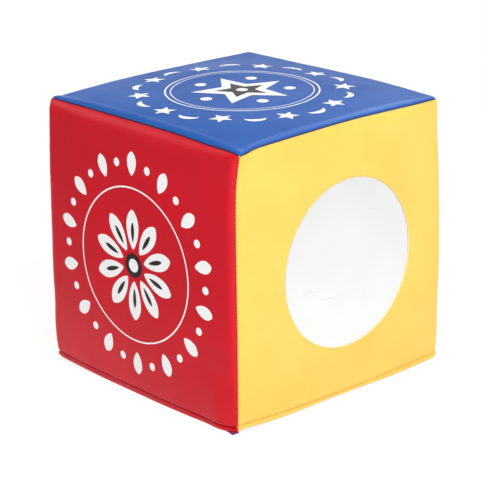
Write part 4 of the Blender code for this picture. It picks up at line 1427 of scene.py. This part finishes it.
@dataclass
class Studio:
    """A pale floor, a white surround, soft lamps and the camera."""

    azimuth: float = 47.423
    elevation: float = 18.778
    roll: float = -0.829
    distance: float = 2.5089
    target: Vector = field(default_factory=lambda: Vector((-0.00069, 0, 0.139192)))
    lens: float = 162.99
    ambient: float = 0.45

    def camera(self) -> None:
        """The camera at the photograph's viewing angle."""
        turn, rise = math.radians(self.azimuth), math.radians(self.elevation)
        back = Vector((math.sin(turn) * math.cos(rise), -math.cos(turn) * math.cos(rise), math.sin(rise)))
        data = bpy.data.cameras.new("camera")
        data.lens, data.sensor_width, data.clip_end = self.lens, 36.0, 60.0
        item = bpy.data.objects.new("camera", data)
        lean = Matrix.Rotation(math.radians(self.roll), 4, "Z")
        aim = back.to_track_quat("Z", "Y").to_matrix().to_4x4()
        item.matrix_world = Matrix.Translation(self.target + back * self.distance) @ aim @ lean
        bpy.context.scene.collection.objects.link(item)
        bpy.context.scene.camera = item

    def lamp(self, name: str, place: Vector, size: float, power: float, colour: Colour = (1, 1, 1)) -> None:
        """A square soft lamp turned to the block's middle."""
        data = bpy.data.lights.new(name, "AREA")
        data.shape, data.size, data.energy, data.color = "SQUARE", size, power, colour
        item = bpy.data.objects.new(name, data)
        aim = (place - Vector((0, 0, 0.16))).to_track_quat("Z", "Y").to_matrix().to_4x4()
        item.matrix_world = Matrix.Translation(place) @ aim
        bpy.context.scene.collection.objects.link(item)

    def floor(self) -> None:
        """The floor: white to the camera and in reflections, with the block's soft shadow, and
        clear from below."""
        form = bmesh.new()
        bmesh.ops.create_grid(form, x_segments=1, y_segments=1, size=14, matrix=Matrix.Translation((0, 0, -0.2 * MM)))
        mesh = bpy.data.meshes.new("floor")
        form.to_mesh(mesh)
        form.free()
        item = bpy.data.objects.new("floor", mesh)
        bpy.context.scene.collection.objects.link(item)
        material = bpy.data.materials.new("studio_floor")
        material.use_nodes = True
        bench = Bench(material.node_tree)
        material.node_tree.nodes.clear()
        path = bench.add("ShaderNodeLightPath")
        bounced = bench.maths("MAXIMUM", path.outputs["Is Glossy Ray"], path.outputs["Is Transmission Ray"])
        seen = bench.maths("MAXIMUM", path.outputs["Is Camera Ray"], bounced)
        place = bench.add("ShaderNodeTexCoord").outputs["Object"]
        away = bench.add("ShaderNodeVectorMath", operation="LENGTH")
        bench.feed(away.inputs[0], place)
        far = bench.ramp(away.outputs["Value"], 0.35, 1.3)
        parts = bench.add("ShaderNodeSeparateXYZ", Vector=place).outputs
        front = bench.ramp(parts["Y"], -0.15, -0.46, 0.0, 0.97)
        right = bench.ramp(parts["X"], 0.0, 0.5, 0.0, 1.7)
        front = bench.maths("MULTIPLY", front, bench.maths("SUBTRACT", 1.0, right))
        gloom = bench.maths("ADD", bench.maths("MULTIPLY", far, 0.075), front)
        fade = bench.maths("MULTIPLY", gloom, path.outputs["Is Glossy Ray"])
        plain = bench.add("ShaderNodeBsdfDiffuse", Color=(0.88, 0.88, 0.88, 1))
        bare = bench.maths("MAXIMUM", far, bench.maths("MULTIPLY", front, path.outputs["Is Glossy Ray"]), clamp=True)
        shade = bench.add("ShaderNodeBsdfDiffuse", Color=bench.blend(bare, (0.24, 0.24, 0.24), (0.0, 0.0, 0.0)))
        bright = bench.maths("SUBTRACT", bench.ramp(far, 0.0, 1.0, 0.8, 1.0), fade)
        glow = bench.add("ShaderNodeEmission", Color=(1, 1, 1, 1), Strength=bright)
        white = bench.add("ShaderNodeAddShader")
        bench.feed(white.inputs[0], shade.outputs[0])
        bench.feed(white.inputs[1], glow.outputs[0])
        mix = bench.add("ShaderNodeMixShader", Fac=seen)
        bench.feed(mix.inputs[1], plain.outputs[0])
        bench.feed(mix.inputs[2], white.outputs[0])
        below = bench.add("ShaderNodeMixShader", Fac=bench.add("ShaderNodeNewGeometry").outputs["Backfacing"])
        bench.feed(below.inputs[1], mix.outputs[0])
        bench.feed(below.inputs[2], bench.add("ShaderNodeBsdfTransparent").outputs[0])
        bench.feed(bench.add("ShaderNodeOutputMaterial").inputs["Surface"], below.outputs[0])
        mesh.materials.append(material)

    def surround(self) -> None:
        """The world: white to the camera, a soft even light elsewhere, and in reflections a white
        backdrop that darkens overhead and towards the open front of the studio."""
        world = bpy.data.worlds.new("surround")
        world.use_nodes = True
        bpy.context.scene.world = world
        bench = Bench(world.node_tree)
        world.node_tree.nodes.clear()
        path = bench.add("ShaderNodeLightPath")
        glossy = bench.maths("MAXIMUM", path.outputs["Is Glossy Ray"], path.outputs["Is Transmission Ray"])
        way = bench.add("ShaderNodeSeparateXYZ", Vector=bench.add("ShaderNodeTexCoord").outputs["Generated"])
        back = bench.ramp(way.outputs["Y"], -0.45, 0.35)
        overhead = bench.ramp(way.outputs["Z"], 0.02, 0.46, 1.1, 0.17)
        room = bench.maths("ADD", 0.08, bench.maths("MULTIPLY", bench.maths("MULTIPLY", back, overhead), 0.92))
        direct = bench.maths("MULTIPLY", path.outputs["Is Camera Ray"], 1 - self.ambient)
        mirrored = bench.maths("MULTIPLY", glossy, bench.maths("SUBTRACT", room, self.ambient))
        strength = bench.maths("ADD", direct, bench.maths("ADD", self.ambient, mirrored))
        light = bench.add("ShaderNodeBackground", Color=(1, 1, 1, 1), Strength=strength)
        bench.feed(bench.add("ShaderNodeOutputWorld").inputs["Surface"], light.outputs[0])

    def build(self) -> None:
        """The whole studio."""
        self.camera()
        self.floor()
        self.surround()
        self.lamp("key_lamp", Vector((2.5, -0.85, 2.2)), 1.6, 106)
        self.lamp("fill_lamp", Vector((-2.2, -1.4, 1.6)), 1.8, 19)
        self.lamp("back_lamp", Vector((-0.6, 2.4, 2.4)), 1.8, 38)
        scene = bpy.context.scene
        scene.view_settings.view_transform = "Standard"


# ---------------------------------------------------------------- the whole block


def main() -> None:
    """Builds and dresses the block, then the studio round it."""
    logging.basicConfig(level=logging.INFO, format="%(name)s: %(message)s")
    Studio().build()
    FoamBlock().build()
    panels = {facing: CoverPanel(facing) for facing in Facing}
    skins = {facing: panel.build() for facing, panel in panels.items()}
    corner = BaseCorner().build()
    MirrorWindow(panels[Facing.MIRROR], skins[Facing.MIRROR]).build()
    for facing in SIDES:
        FootFlap(facing).build()
    SeamStitching().build()
    for facing, (name, marks, rings, drop) in BADGES.items():
        PrintedBadge(panels[facing], marks(), rings, drop).build(name)
    ZipFastener().build()


if __name__ == "__main__":
    main()
